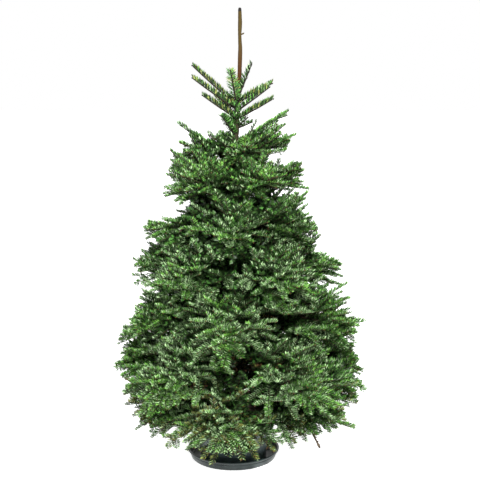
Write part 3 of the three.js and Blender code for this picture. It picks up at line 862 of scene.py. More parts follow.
@dataclass
class Crown:
    """The seven whorls and the layers of space that their foliage keeps to."""

    trunk: Trunk
    whorls: tuple[Whorl, ...] = (
        Whorl(0.270, 5, 50, 0.435, -0.055, 0.022, 0.12),
        Whorl(0.440, 5, 16, 0.515, -0.074, 0.024, 0.03),
        Whorl(0.620, 5, 52, 0.458, -0.052, 0.020, 0.10),
        Whorl(0.795, 5, 14, 0.430, -0.018, 0.012, 0.02),
        Whorl(0.955, 5, 50, 0.352, 0.000, 0.006, -0.02),
        Whorl(1.090, 5, 12, 0.285, 0.080, -0.004, 0.0),
        Whorl(1.225, 4, 12, 0.225, 0.060, 0.000, 0.0),
    )
    interlock: float = 0.045  # how far a space rises between the boughs of the whorl above
    lowest_space: tuple[float, float] = (0.135, 0.020)  # how far the lowest one hangs, at the trunk and at the tips
    highest_space: float = 0.030  # how far the highest one rises
    bare_tiers: int = 2  # the lowest whorls, whose inner boughs show as wood
    young_from: int = 5  # the first of the young, open whorls
    saucer_height: float = 0.038
    saucer_reach: float = 0.194
    pot_top: float = 0.226
    hollows: tuple[Hollow, ...] = (  # the dark gaps in its front, and the notches in its outline
        Hollow((0.05, -0.42, 0.48), (0.066, 0.24, 0.050)),
        Hollow((0.0625, -0.36, 0.295), (0.030, 0.20, 0.026)),
        Hollow((-0.285, 0.0, 1.014), (0.110, 0.25, 0.044)),
        Hollow((0.200, 0.0, 1.214), (0.075, 0.30, 0.038)),
        Hollow((-0.205, 0.0, 1.288), (0.036, 0.25, 0.030)),
        Hollow((0.43, 0.0, 0.845), (0.105, 0.30, 0.050)),
        Hollow((0.495, 0.0, 0.530), (0.030, 0.30, 0.034)),
    )

    def border(self, lower: int, radius: Values, angle: Values) -> Values:
        """The height of the border between a whorl's space and the next whorl's.

        Args:
            lower: The lower of the two whorls, counted from the lowest.
            radius: The distance from the trunk.
            angle: The heading in radians.

        Returns:
            The height in metres.
        """
        below, above = self.whorls[lower], self.whorls[lower + 1]
        midway = (below.height_at(radius) + above.height_at(radius)) / 2
        return midway + self.interlock * (below.nearness(angle) - above.nearness(angle)) / 2

    def layer(self, tier: int, radius: Values, angle: Values) -> tuple[Values, Values]:
        """The span of a whorl's space at a place.

        Args:
            tier: The whorl, counted from the lowest.
            radius: The distance from the trunk.
            angle: The heading in radians.

        Returns:
            The lowest and the highest z of the space.
        """
        whorl = self.whorls[tier]
        own = whorl.height_at(radius)
        share = radius / whorl.reach
        low = own - lerp(*self.lowest_space, share**3) if tier == 0 else self.border(tier - 1, radius, angle)
        last = tier == len(self.whorls) - 1
        high = own + self.highest_space if last else self.border(tier, radius, angle)
        return low, high

    def envelope(self, tier: int, z: Values) -> Values:
        """How far a whorl's foliage reaches: less and less from the height of its tips to that of the next.

        Args:
            tier: The whorl, counted from the lowest.
            z: The height in metres.

        Returns:
            The reach from the trunk in metres.
        """
        whorl = self.whorls[tier]
        after = self.whorls[min(tier + 1, len(self.whorls) - 1)]
        own_tip, next_tip = whorl.height + whorl.lift, after.height + after.lift
        gap = max(next_tip - own_tip, 0.17)
        rise = np.clip((z - own_tip - 0.02) / gap, 0, 1)
        next_reach = after.reach if after is not whorl else whorl.reach * 0.75
        return lerp(next_reach * 0.97, whorl.reach, (1 - rise) ** 2)

    def boughs(self) -> list[Bough]:
        """Every bough of the crown, from the lowest whorl up."""
        return [Bough(self, tier, index) for tier, whorl in enumerate(self.whorls) for index in range(whorl.count)]


class Bough:
    """One bough, as the centre line that its wood and its foliage follow, with the space it may fill."""

    step = 0.006  # between the places where the space is tried
    off_pot, off_saucer, off_trunk, off_tip = 0.012, 0.030, 0.004, 0.012  # the room that twigs leave
    blunt = 0.2  # how much shorter the space is at its borders than along the bough

    def __init__(self, crown: Crown, tier: int, index: int) -> None:
        """Places the bough by the same rule as the solids.

        Args:
            crown: The crown that it belongs to.
            tier: Its whorl, counted from the lowest.
            index: Its place in the whorl.
        """
        self.crown, self.tier, self.index = crown, tier, index
        self.whorl = crown.whorls[tier]
        self.seed = tier * 20 + index
        self.sector = 2 * math.pi / self.whorl.count
        self.heading = math.radians(self.whorl.heading) + self.sector * index
        fullness = self.whorl.fuller * math.cos(self.heading) + spread(self.seed + 0.3, 0.03)
        self.reach = self.whorl.reach * (1 + fullness)
        self.foot = crown.trunk.spot(self.whorl.height)[0][:2]
        self.place = f"t{tier + 1}_{index + 1}"

    def line(self, shares: np.ndarray) -> np.ndarray:
        """Points on the bough's centre line.

        Args:
            shares: How far along they lie: 0 is the trunk's centre and 1 the tip.

        Returns:
            Rows of x, y and z.
        """
        radius = self.reach * shares
        x = self.foot[0] + math.cos(self.heading) * radius
        y = self.foot[1] + math.sin(self.heading) * radius
        return np.stack([x, y, self.whorl.height_at(radius)], axis=-1)

    def along(self, share: float) -> np.ndarray:
        """The bough's direction at a share of it."""
        ends = self.line(np.array([share - 0.01, share + 0.01]))
        return unit(ends[1] - ends[0])

    def holds(self, points: np.ndarray, slack: float) -> np.ndarray:
        """Whether points lie in the bough's own space.

        Args:
            points: Rows of x, y and z.
            slack: How far twigs may pass over the borders with their neighbours.

        Returns:
            One truth value for each point.
        """
        crown = self.crown
        x, y, z = points[:, 0], points[:, 1], points[:, 2]
        local_x, local_y = x - self.foot[0], y - self.foot[1]
        radius = np.hypot(local_x, local_y)
        angle = np.arctan2(local_y, local_x)
        turn = angle - self.heading
        offset = np.abs(np.arctan2(np.sin(turn), np.cos(turn)))
        to_side = radius * np.sin(np.minimum(self.sector / 2 - offset, math.pi / 2))
        low, high = crown.layer(self.tier, radius, angle)
        over_pot = np.hypot(x, y) < crown.saucer_reach
        floor = np.where(over_pot, crown.pot_top + self.off_pot, crown.saucer_height + self.off_saucer)
        centre_x, centre_y, thick = crown.trunk.at(z)
        from_axis = np.hypot(x - centre_x, y - centre_y)
        outermost = self.reach * (1.01 - self.blunt * (offset / (self.sector / 2)) ** 2)
        outermost = np.minimum(outermost, crown.envelope(self.tier, z) * (self.reach / self.whorl.reach))
        hollow = np.any([place.takes(points) for place in crown.hollows], axis=0)
        return (
            ~hollow
            & (to_side > -slack)
            & (z > np.maximum(low - slack, floor))
            & (z < high + (slack if self.tier + 1 < len(crown.whorls) else 0.0))
            & (from_axis > thick + self.off_trunk)
            & (radius < outermost - self.off_tip)
        )

    def room(self, point: np.ndarray, direction: np.ndarray, limit: float, slack: float) -> float:
        """How far the bough's own space goes on from a point.

        Args:
            point: The point to start from.
            direction: The way to go, with a length of one.
            limit: The distance to stop at.
            slack: How far twigs may pass over the borders with their neighbours.

        Returns:
            The distance in metres.
        """
        steps = np.arange(self.step, limit + self.step, self.step)
        inside = self.holds(point + direction * steps[:, None], slack)
        return float(limit if inside.all() else self.step * np.argmin(inside))

    def depth(self, points: np.ndarray) -> np.ndarray:
        """How deep in the crown points lie, as a share: 0 at the outside and 1 at the trunk."""
        radius = np.hypot(points[:, 0] - self.foot[0], points[:, 1] - self.foot[1])
        return np.clip(1 - radius / (self.reach * 0.92), 0, 1)


# ---------------------------------------------------------------- twigs and shoots


class Kind(Enum):
    """What a length of twig is, which settles how it is needled."""

    SHOOT = 0  # the last years' growth, fully needled
    OLD = 1  # an older length with fewer needles
    TOP = 2  # one of the slim shoots round the leader, whose needles stand up
    DEAD = 3  # dried out, with few rusty needles
    INNER = 4  # deep inside, where broad needles stand for many
    BROAD = 5  # a broad comb of long needles: a free single shoot, or one round the neck


@dataclass
class Twig:
    """One length of twig, from its root along a gentle curve.

    Attributes:
        root: Where it leaves its parent.
        direction: The way it sets out, with a length of one.
        up: The way its flat side faces, square to direction.
        length: Its length.
        curl: How far its tip bends towards up, as a share of its length.
        radii: Its radius at the root and at the tip.
        kind: What it is.
        tone: From 0, deep in the crown, to 1, out in the light.
        bud: Whether it ends in a bud.
        look: How its needles look, or None for the look that its place gives it.
    """

    root: np.ndarray
    direction: np.ndarray
    up: np.ndarray
    length: float
    curl: float
    radii: tuple[float, float]
    kind: Kind
    tone: float
    bud: bool = True
    look: Spray | None = None

    def point(self, share: float) -> np.ndarray:
        """The centre of the twig at a share of its length."""
        return self.root + self.length * (self.direction * share + self.up * self.curl * share**2)

    def heading(self, share: float) -> np.ndarray:
        """The twig's direction at a share of its length."""
        return unit(self.direction + self.up * 2 * self.curl * share)


def flat_up(direction: np.ndarray, roll: float) -> np.ndarray:
    """The way a twig's upper side faces.

    Args:
        direction: The twig's direction.
        roll: How far it is turned about itself, in degrees.

    Returns:
        A vector square to the direction, with a length of one.
    """
    lean = UP if abs(direction[2]) < 0.95 else np.array([1.0, 0.0, 0.0])
    return turned(square_to(direction, lean), direction, roll)


@dataclass
class MassGrowth:
    """The rule that a bough's twigs and shoots grow by: a pair of side shoots at each year's node."""

    slack: float = 0.02
    pitch: float = 0.0066  # along the bough, from one side twig to the next
    first: float = 0.14  # the share of the bough where its twigs begin
    last: float = 0.96
    spread_out: tuple[float, float] = (62, 34)  # a side twig's angle off the bough, in degrees
    long_share: tuple[float, float] = (0.66, 0.30)  # its length, as a share of the bough's reach
    forward: float = 0.4  # how much nearer to the bough's own line the raised and hung twigs run
    longest: float = 0.26
    shortest: float = 0.045
    year: float = 0.115  # one year's growth
    spray_year: float = 0.062  # and that of the sprays that stand out of the crown
    side_share: float = 0.66  # a side shoot's length, as a share of what lies beyond its node
    side_angle: float = 42
    side_climb: float = 12  # how far its side shoots stand up off a twig's flat side, in degrees
    upper_climb: float = 74  # and the third one that some nodes carry
    upper_chance: float = 0.4
    least_side: float = 0.03  # what no side shoot is shorter than
    forked_from: float = 0.075  # the length from which a twig of one year forks
    shoot_radius: float = 0.0013
    thicker: float = 0.45  # by how much of that a twig is thicker for each year behind it
    most_orders: int = 3
    leading: tuple[tuple[float, float], ...] = ((0.86, 0), (0.88, 36), (0.88, -36))  # where each leaves, and its turn
    twigs: list[Twig] = field(default_factory=list)

    def grow(self, bough: Bough) -> None:
        """Grows everything that one bough carries.

        Args:
            bough: The bough.
        """
        count = int((self.last - self.first) * bough.reach / self.pitch)
        for n in range(count):
            self._side_twig(bough, n, (n + 0.5) / count)
        self._leading_shoots(bough)
        self._own_needles(bough)
        for n, spray in enumerate(LONG_SPRAYS):
            if (spray.tier, spray.index) == (bough.tier, bough.index):
                self._long_spray(bough, spray, SPRAY_SEED + n)

    def _long_spray(self, bough: Bough, spray: LongSpray, seed: float) -> None:
        """Grows a spray out to its own tip, free of the bough's space.

        Args:
            bough: The bough that it leaves.
            spray: The spray.
            seed: The seed of its own unevenness.
        """
        root = bough.line(np.array([spray.share]))[0]
        turn = math.radians(spray.heading)
        tip = np.array([spray.reach * math.cos(turn), spray.reach * math.sin(turn), spray.height])
        length = float(np.linalg.norm(tip - root))
        direction = unit(tip - root - UP * 0.08 * length)
        up = flat_up(direction, spread(seed, 30))
        twig = Twig(root, direction, up, length, 0.08, (0, 0), Kind.OLD, 0.7, look=spray.look)
        self._branch(None, twig, self.most_orders + 1 if spray.single else 2, seed)

    def _roll(self, bough: Bough, n: int) -> float:
        """A side twig's place round its bough.

        Args:
            bough: The bough that it leaves.
            n: Its number on the bough.

        Returns:
            The place in degrees: 0 is the bough's right, 90 up, 180 its left and 270 down.
        """
        seed = bough.seed * 400 + n
        lowest = bough.tier == 0
        if n % 5 == 1 or (n % 5 == 3 and not lowest):
            return 90 + spread(seed + 0.1, 62)
        if n % 5 == 4 or (n % 5 in (2, 3) and lowest):
            return 270 + spread(seed + 0.1, 64)
        return (0 if n % 2 else 180) + spread(seed + 0.1, 36)

    def _side_twig(self, bough: Bough, n: int, along: float) -> None:
        """Grows one side twig with its shoots.

        Args:
            bough: The bough that it leaves.
            n: Its number on the bough.
            along: Its place from the first twig, 0, to the last, 1.
        """
        seed = bough.seed * 400 + n
        share = lerp(self.first, self.last, along)
        roll = math.radians(self._roll(bough, n))
        angle = math.radians(lerp(*self.spread_out, along) + spread(seed + 0.2, 8))
        hanging = bough.tier == 0 and math.sin(roll) < 0
        angle *= 1 - (0.0 if hanging else self.forward) * abs(math.sin(roll))
        direction = leaving(bough.along(share), roll, angle)
        root = bough.line(np.array([share]))[0]
        wanted = min(bough.reach * lerp(*self.long_share, along), self.longest)
        wanted *= 1 + spread(seed + 0.3, 0.18)
        length = min(wanted, bough.room(root, direction, wanted, self.slack))
        if length < self.shortest:
            return
        up = flat_up(direction, spread(seed + 0.4, 24))
        tone, curl = 0.5 + spread(seed + 0.6, 0.5), 0.1 + spread(seed + 0.5, 0.06)
        self._branch(bough, Twig(root, direction, up, length, curl, (0, 0), Kind.OLD, tone), 2, seed)

    def _branch(self, bough: Bough | None, twig: Twig, order: int, seed: float) -> None:
        """Keeps a twig, year by year, and grows the side shoots at its nodes.

        Args:
            bough: The bough whose space it keeps to, or None where it is free.
            twig: The twig, as one length.
            order: How many forks it is from the trunk.
            seed: The seed of its own unevenness.
        """
        years = max(1, round(twig.length / (self.year if bough else self.spray_year)))
        thick = self.shoot_radius * (1 + self.thicker * (years - 1))
        for year in range(years):
            start, end = year / years, (year + 1) / years
            root, step = twig.point(start), twig.point(end) - twig.point(start)
            up = square_to(twig.heading(start), twig.up)
            last = year == years - 1
            radii = (lerp(thick, self.shoot_radius, start), lerp(thick, self.shoot_radius * 0.8, end))
            if bough is None:
                kind = Kind.BROAD if order > self.most_orders else Kind.SHOOT
            else:
                kind = Kind.SHOOT if last else Kind.OLD
            length = float(np.linalg.norm(step))
            self.twigs.append(Twig(root, unit(step), up, length, 0.02, radii, kind, twig.tone, last, twig.look))
            if year and order <= self.most_orders:
                self._pair(bough, twig, start, order, seed + 0.013 * year)
        if years == 1 and twig.length > self.forked_from and order == 2:
            self._pair(bough, twig, 0.3, order, seed + 0.011)

    def _pair(self, bough: Bough | None, twig: Twig, share: float, order: int, seed: float) -> None:
        """Grows the side shoots of one node: one on each side, and now and then one above.

        Args:
            bough: The bough whose space they keep to, or None where they are free.
            twig: The twig that they leave.
            share: The node's place on the twig.
            order: How many forks the twig is from the trunk.
            seed: The seed of the node's own unevenness.
        """
        heading = twig.heading(share)
        up = square_to(heading, twig.up)
        side = np.cross(heading, up)
        left = twig.length * (1 - share)
        climbs = [(1, self.side_climb), (-1, self.side_climb)]
        if chance(seed + 0.31) < self.upper_chance:
            climbs.append((1, self.upper_climb))
        for n, (hand, climb) in enumerate(climbs):
            own = seed + 0.0031 * (n + 1)
            lift = math.radians(climb + spread(own + 0.7, 16))
            angle = math.radians(self.side_angle + spread(own + 0.8, 9))
            outward = side * hand * math.cos(lift) + up * math.sin(lift)
            direction = unit(heading * math.cos(angle) + outward * math.sin(angle))
            root = twig.point(share)
            wanted = max(left * self.side_share, 0.05) * (1 + spread(own + 0.9, 0.16))
            length = wanted if bough is None else min(wanted, bough.room(root, direction, wanted, self.slack))
            if length < self.least_side:
                continue
            tone = twig.tone + spread(own + 0.5, 0.35)
            up_side = flat_up(direction, spread(own + 0.4, 18))
            child = Twig(root, direction, up_side, length, 0.09, (0, 0), Kind.OLD, tone, look=twig.look)
            self._branch(bough, child, order + 1, own)

    def _leading_shoots(self, bough: Bough) -> None:
        """Grows the bough's own leading shoot and the two beside it.

        Args:
            bough: The bough.
        """
        for n, (share, turn) in enumerate(self.leading):
            root = bough.line(np.array([share]))[0]
            direction = turned(bough.along(share), UP, turn)
            length = bough.reach * (1.0 - share) * (1 if n == 0 else 0.95)
            tone = 0.8 + spread(bough.seed + n * 0.2, 0.3)
            up, radii = flat_up(direction, 0), (0.003, self.shoot_radius)
            self.twigs.append(Twig(root, direction, up, length, 0.06, radii, Kind.SHOOT, tone))

    def _own_needles(self, bough: Bough) -> None:
        """Clothes the outer part of the bough itself.

        Args:
            bough: The bough.
        """
        begin = 0.36 if bough.tier < bough.crown.bare_tiers else 0.20
        points = bough.line(np.linspace(begin, 0.87, 9))
        for start, end in zip(points, points[1:]):
            way, length = unit(end - start), float(np.linalg.norm(end - start))
            self.twigs.append(Twig(start, way, flat_up(way, 0), length, 0.0, (0.002, 0.002), Kind.OLD, 0.4, False))


# ---------------------------------------------------------------- needles


@dataclass(frozen=True)
class NeedleRule:
    """How one kind of twig is needled. Angles are degrees, lengths metres."""

    pitch: float  # of the stem, for each needle
    length: float
    width: float
    round_stem: float  # how far round from the upper side they stand
    at_root: float  # the angle off the stem near its root
    at_tip: float
    raised: float = 0.12  # how far they are drawn up


NEEDLE_RULES = {
    Kind.SHOOT: NeedleRule(0.0009, 0.0260, 0.0033, 104, 60, 42),
    Kind.OLD: NeedleRule(0.0015, 0.0255, 0.0033, 108, 62, 52),
    Kind.TOP: NeedleRule(0.0011, 0.0335, 0.0052, 84, 70, 48, 0.5),
    Kind.DEAD: NeedleRule(0.0024, 0.0230, 0.0060, 150, 66, 44),
    Kind.INNER: NeedleRule(0.0034, 0.0300, 0.0110, 140, 68, 40),
    Kind.BROAD: NeedleRule(0.0008, 0.0340, 0.0040, 104, 68, 50, 0.05),
}

# the rows that every third needle keeps to, round its stem from the upper side as shares of round_stem
ROWS = np.array([-0.72, 0.28, 0.72, -0.28])


@dataclass(frozen=True)
class Unevenness:
    """How far needles stray from their rule. In a pair the first is of the needles in rows, the second of the rest."""

    along: float = 0.4  # as a share of the pitch
    around: tuple[float, float] = (0.05, 0.13)  # in radians
    bend: tuple[float, float] = (2, 6)  # in degrees
    length: tuple[float, float] = (1.0, 0.88)
    width: tuple[float, float] = (1.25, 1.0)
    # how much higher the rows stand in the light rank, so that they take the lighter shades and the painted highlights
    light: tuple[float, float] = (0.9, 0.0)
    longer: tuple[float, float] = (0.82, 1.12)  # between which each one's own factor lies
    wider: tuple[float, float] = (0.85, 1.15)
    twist: float = 0.16


def needle_faces(corners: np.ndarray) -> tuple[np.ndarray, np.ndarray]:
    """The mesh of some needles: two faces each, which share its midrib.

    Args:
        corners: For each needle its root, one side, its tip and the other side.

    Returns:
        The vertices, and the faces as rows of three corner numbers.
    """
    first = np.arange(len(corners))[:, None] * 4
    faces = np.concatenate([first + np.array([[0, 1, 2]]), first + np.array([[0, 2, 3]])])
    return corners.reshape(-1, 3), faces


def needle_corners(twigs: Sequence[Twig], seed: int) -> tuple[np.ndarray, np.ndarray]:
    """Every needle of some twigs, folded a little along its midrib.

    Args:
        twigs: The twigs, which may be of several kinds.
        seed: The seed of the small unevenness.

    Returns:
        For each needle its root, one side, its tip and the other side, and how light a shade it is dealt among the
        needles of its kind, from 0 to 1: the more, the higher it stands on its twig, as painted highlight on upper
        sides and painted shade beneath.
    """
    chances, uneven = np.random.default_rng(seed), Unevenness()
    rules = [NEEDLE_RULES[twig.kind] for twig in twigs]
    counts = np.array([max(6, round(twig.length / rule.pitch)) for twig, rule in zip(twigs, rules)])
    owner = np.repeat(np.arange(len(twigs)), counts)
    total = len(owner)

    def of_each(values: Iterable) -> np.ndarray:
        """One value for each twig, dealt out to its needles."""
        return np.array(list(values), dtype=float)[owner]

    number = np.arange(total) - np.repeat(np.cumsum(counts) - counts, counts)
    in_row = number % 3 == 1
    share = (number + 0.5 + chances.uniform(-uneven.along, uneven.along, total)) / of_each(counts)
    share = 0.03 + 0.97 * share
    root, direction = of_each(t.root for t in twigs), of_each(t.direction for t in twigs)
    up, length = of_each(t.up for t in twigs), of_each(t.length for t in twigs)
    curl = of_each(t.curl for t in twigs)
    stem = root + length[:, None] * (direction * share[:, None] + up * (curl * share**2)[:, None])
    heading = unit(direction + up * (2 * curl * share)[:, None])
    up = square_to(heading, up)
    side = np.cross(heading, up)

    phase = np.mod(number * GOLDEN_TURN + of_each(chances.random(len(twigs))), 1) * 2 - 1
    phase = np.where(in_row, ROWS[(number // 3) % len(ROWS)], phase)
    sway = chances.normal(0, 1, total) * np.where(in_row, *uneven.around)
    around = np.radians(phase * of_each(r.round_stem for r in rules)) + sway
    bend = np.radians(
        of_each(r.at_root for r in rules)
        + (of_each(r.at_tip for r in rules) - of_each(r.at_root for r in rules)) * share**1.8
        + chances.normal(0, 1, total) * np.where(in_row, *uneven.bend)
    )
    bend *= 0.68 + 0.32 * np.abs(np.sin(around))
    radial = up * np.cos(around)[:, None] + side * np.sin(around)[:, None]
    needle = heading * np.cos(bend)[:, None] + radial * np.sin(bend)[:, None]
    needle = unit(needle + UP * of_each(r.raised for r in rules)[:, None])
    long = of_each(r.length for r in rules) * chances.uniform(*uneven.longer, total)
    long = long * (0.72 + 0.28 * np.sin(np.pi * np.clip(share, 0, 1) ** 0.8))
    long *= np.where(in_row, *uneven.length)
    wide = of_each(r.width for r in rules) * chances.uniform(*uneven.wider, total) * np.where(in_row, *uneven.width)
    tangent = np.cross(heading, radial)
    flatness = np.abs(np.sin(around))[:, None]
    across = unit(tangent * (1 - flatness) + heading * flatness + chances.normal(0, uneven.twist, (total, 3)))
    across = square_to(needle, across)
    face = np.cross(needle, across)
    middle = stem + needle * (long * 0.58)[:, None] + face * (wide * 0.22)[:, None]
    half = across * (wide / 2)[:, None]
    tip = stem + needle * long[:, None]
    # the light rank: needles that face up and those in the rows rank higher, as painted highlight, and the rest lower,
    # as painted shade; needles near the tip rank a little higher for the lighter young growth
    light = 0.16 * radial[:, 2] + 0.14 * share + chances.uniform(0, 1, total) + np.where(in_row, *uneven.light)
    light = np.argsort(np.argsort(light)) / total
    return np.stack([stem, middle + half, tip, middle - half], axis=1), light


def twig_mesh(twigs: Sequence[Twig], sides: int, rings: int) -> tuple[np.ndarray, np.ndarray]:
    """The stems of some twigs, all with the same number of sides and rings.

    Args:
        twigs: The twigs.
        sides: How many corners a ring has.
        rings: How many rings a twig has.

    Returns:
        The vertices, and the faces as rows of four corner numbers.
    """
    share = np.linspace(0, 1, rings)[None, :, None]
    root = np.array([twig.root for twig in twigs])[:, None, :]
    direction = np.array([twig.direction for twig in twigs])[:, None, :]
    up = np.array([twig.up for twig in twigs])[:, None, :]
    length = np.array([twig.length for twig in twigs])[:, None, None]
    curl = np.array([twig.curl for twig in twigs])[:, None, None]
    centre = root + length * (direction * share + up * curl * share**2)
    heading = unit(direction + up * 2 * curl * share)
    above = square_to(heading, up)
    across = np.cross(heading, above)
    ends = np.array([twig.radii for twig in twigs])
    radius = ends[:, 0, None, None] + (ends[:, 1] - ends[:, 0])[:, None, None] * share
    turn = np.arange(sides) * 2 * math.pi / sides
    ring = np.cos(turn)[:, None] * above[:, :, None, :] + np.sin(turn)[:, None] * across[:, :, None, :]
    vertices = centre[:, :, None, :] + ring * radius[:, :, None, :]
    starts = np.arange(len(twigs))[:, None, None] * (rings * sides)
    faces = starts + ring_faces(rings, sides)[None]
    return vertices.reshape(-1, 3), faces.reshape(-1, 4)


def bud_mesh(twigs: Sequence[Twig], radius: float = 0.0024, length: float = 0.0075) -> tuple[np.ndarray, np.ndarray]:
    """The pointed buds at the tips of some twigs.

    Args:
        twigs: The twigs.
        radius: A bud's radius.
        length: Its length.

    Returns:
        The vertices, and the faces as rows of three corner numbers.
    """
    tips = np.array([twig.point(1.0) for twig in twigs])
    along = np.array([twig.heading(1.0) for twig in twigs])
    above = square_to(along, np.array([twig.up for twig in twigs]))
    across = np.cross(along, above)
    middle = tips + along * length * 0.4
    turns = np.arange(4) * math.pi / 2
    ring = [middle + radius * (math.cos(turn) * above + math.sin(turn) * across) for turn in turns]
    corners = np.stack([tips, *ring, tips + along * length], axis=1)
    faces = [[0, 1 + (n + 1) % 4, 1 + n] for n in range(4)] + [[5, 1 + n, 1 + (n + 1) % 4] for n in range(4)]
    first = np.arange(len(twigs))[:, None, None] * 6
    return corners.reshape(-1, 3), (first + np.array(faces)).reshape(-1, 3)


# ---------------------------------------------------------------- the tree's foliage


@dataclass(frozen=True)
class LeaderShoot:
    """One of the slim shoots of the open crown round the leader. Angles are degrees, lengths metres."""

    height: float
    heading: float
    length: float
    rise: float
    kind: Kind = Kind.TOP
    look: Spray = Spray.LEADER
    pairs: int = 0  # of side shoots
    curl: float = 0.03

    def twigs(self, trunk: Trunk) -> list[Twig]:
        """The shoot as a twig, with its side shoots.

        Args:
            trunk: The trunk that it leaves.

        Returns:
            The shoot, and then its side shoots.
        """
        centre, radius = trunk.spot(self.height)
        direction = pointed(self.heading, self.rise)
        root = centre + direction * radius * 0.6
        length = self.length - radius * 0.6
        stem = Twig(root, direction, flat_up(direction, 0), length, self.curl, (0.0038, 0.0019), self.kind, 0.7)
        return [stem, *self._side_shoots(stem)]

    def _side_shoots(self, stem: Twig) -> list[Twig]:
        """The side shoots: shorter and shorter ones, pair by pair.

        Args:
            stem: The shoot that they leave, on both its sides.

        Returns:
            The side shoots.
        """
        shoots = []
        for n in range(self.pairs):
            share = lerp(0.18, 0.78, n / max(self.pairs - 1, 1))
            heading = stem.heading(share)
            side = np.cross(heading, stem.up)
            for hand in (1, -1):
                angle = math.radians(44 + spread(self.height * 50 + n + hand * 0.3, 6))
                outward = unit(side * hand - UP * 0.25)
                way = unit(heading * math.cos(angle) + outward * math.sin(angle))
                length = max(stem.length * (1 - share) * 0.52, 0.05)
                root = stem.point(share)
                shoots.append(Twig(root, way, flat_up(way, 0), length, 0.1, (0.0022, 0.0014), Kind.SHOOT, 0.7))
        return shoots


LEADER_SHOOTS = (
    LeaderShoot(1.430, 176, 0.228, 39.5),
    LeaderShoot(1.414, 200, 0.213, 32),
    LeaderShoot(1.380, 186, 0.156, 32),
    LeaderShoot(1.428, 258, 0.168, 49, Kind.BROAD, Spray.YOUNG),
    LeaderShoot(1.456, 320, 0.146, 60, Kind.TOP, Spray.DEEP),
    LeaderShoot(1.440, 14, 0.156, 26),
    LeaderShoot(1.408, 342, 0.158, 33),
    LeaderShoot(1.376, 4, 0.160, 27),
    LeaderShoot(1.275, 12, 0.247, 31, Kind.SHOOT, Spray.FRESH, 4, 0.015),
    LeaderShoot(1.312, 236, 0.122, 37, Kind.BROAD, Spray.FOREST),
    LeaderShoot(1.404, 85, 0.170, 42),
    LeaderShoot(1.376, 130, 0.160, 32),
    LeaderShoot(1.340, 350, 0.064, 20, Kind.BROAD, Spray.FIR),
    LeaderShoot(1.346, 330, 0.060, 34, Kind.BROAD, Spray.FOREST),
    LeaderShoot(1.352, 220, 0.066, 30, Kind.BROAD, Spray.FOREST),
    LeaderShoot(1.438, 284, 0.040, 24, Kind.TOP, Spray.FOREST),
    LeaderShoot(1.414, 256, 0.044, 16, Kind.TOP, Spray.FOREST),
    LeaderShoot(1.392, 278, 0.040, 12, Kind.TOP, Spray.FOREST),
    LeaderShoot(1.368, 262, 0.044, 20, Kind.TOP, Spray.FOREST),
)


# the looks that twigs take as they stand less and less in the light, each below its own limit
LIT_FROM_DARK = ((0.02, Spray.DEEP), (0.28, Spray.FOREST), (0.58, Spray.FIR), (0.86, Spray.FRESH))
# the greyer, paler looks of the same twigs low in the middle of the tree, whose larger PALE share is painted fill light
GREYED = {Spray.FOREST: Spray.GREY_FOREST, Spray.FIR: Spray.GREY_FIR, Spray.FRESH: Spray.GREY_FRESH}


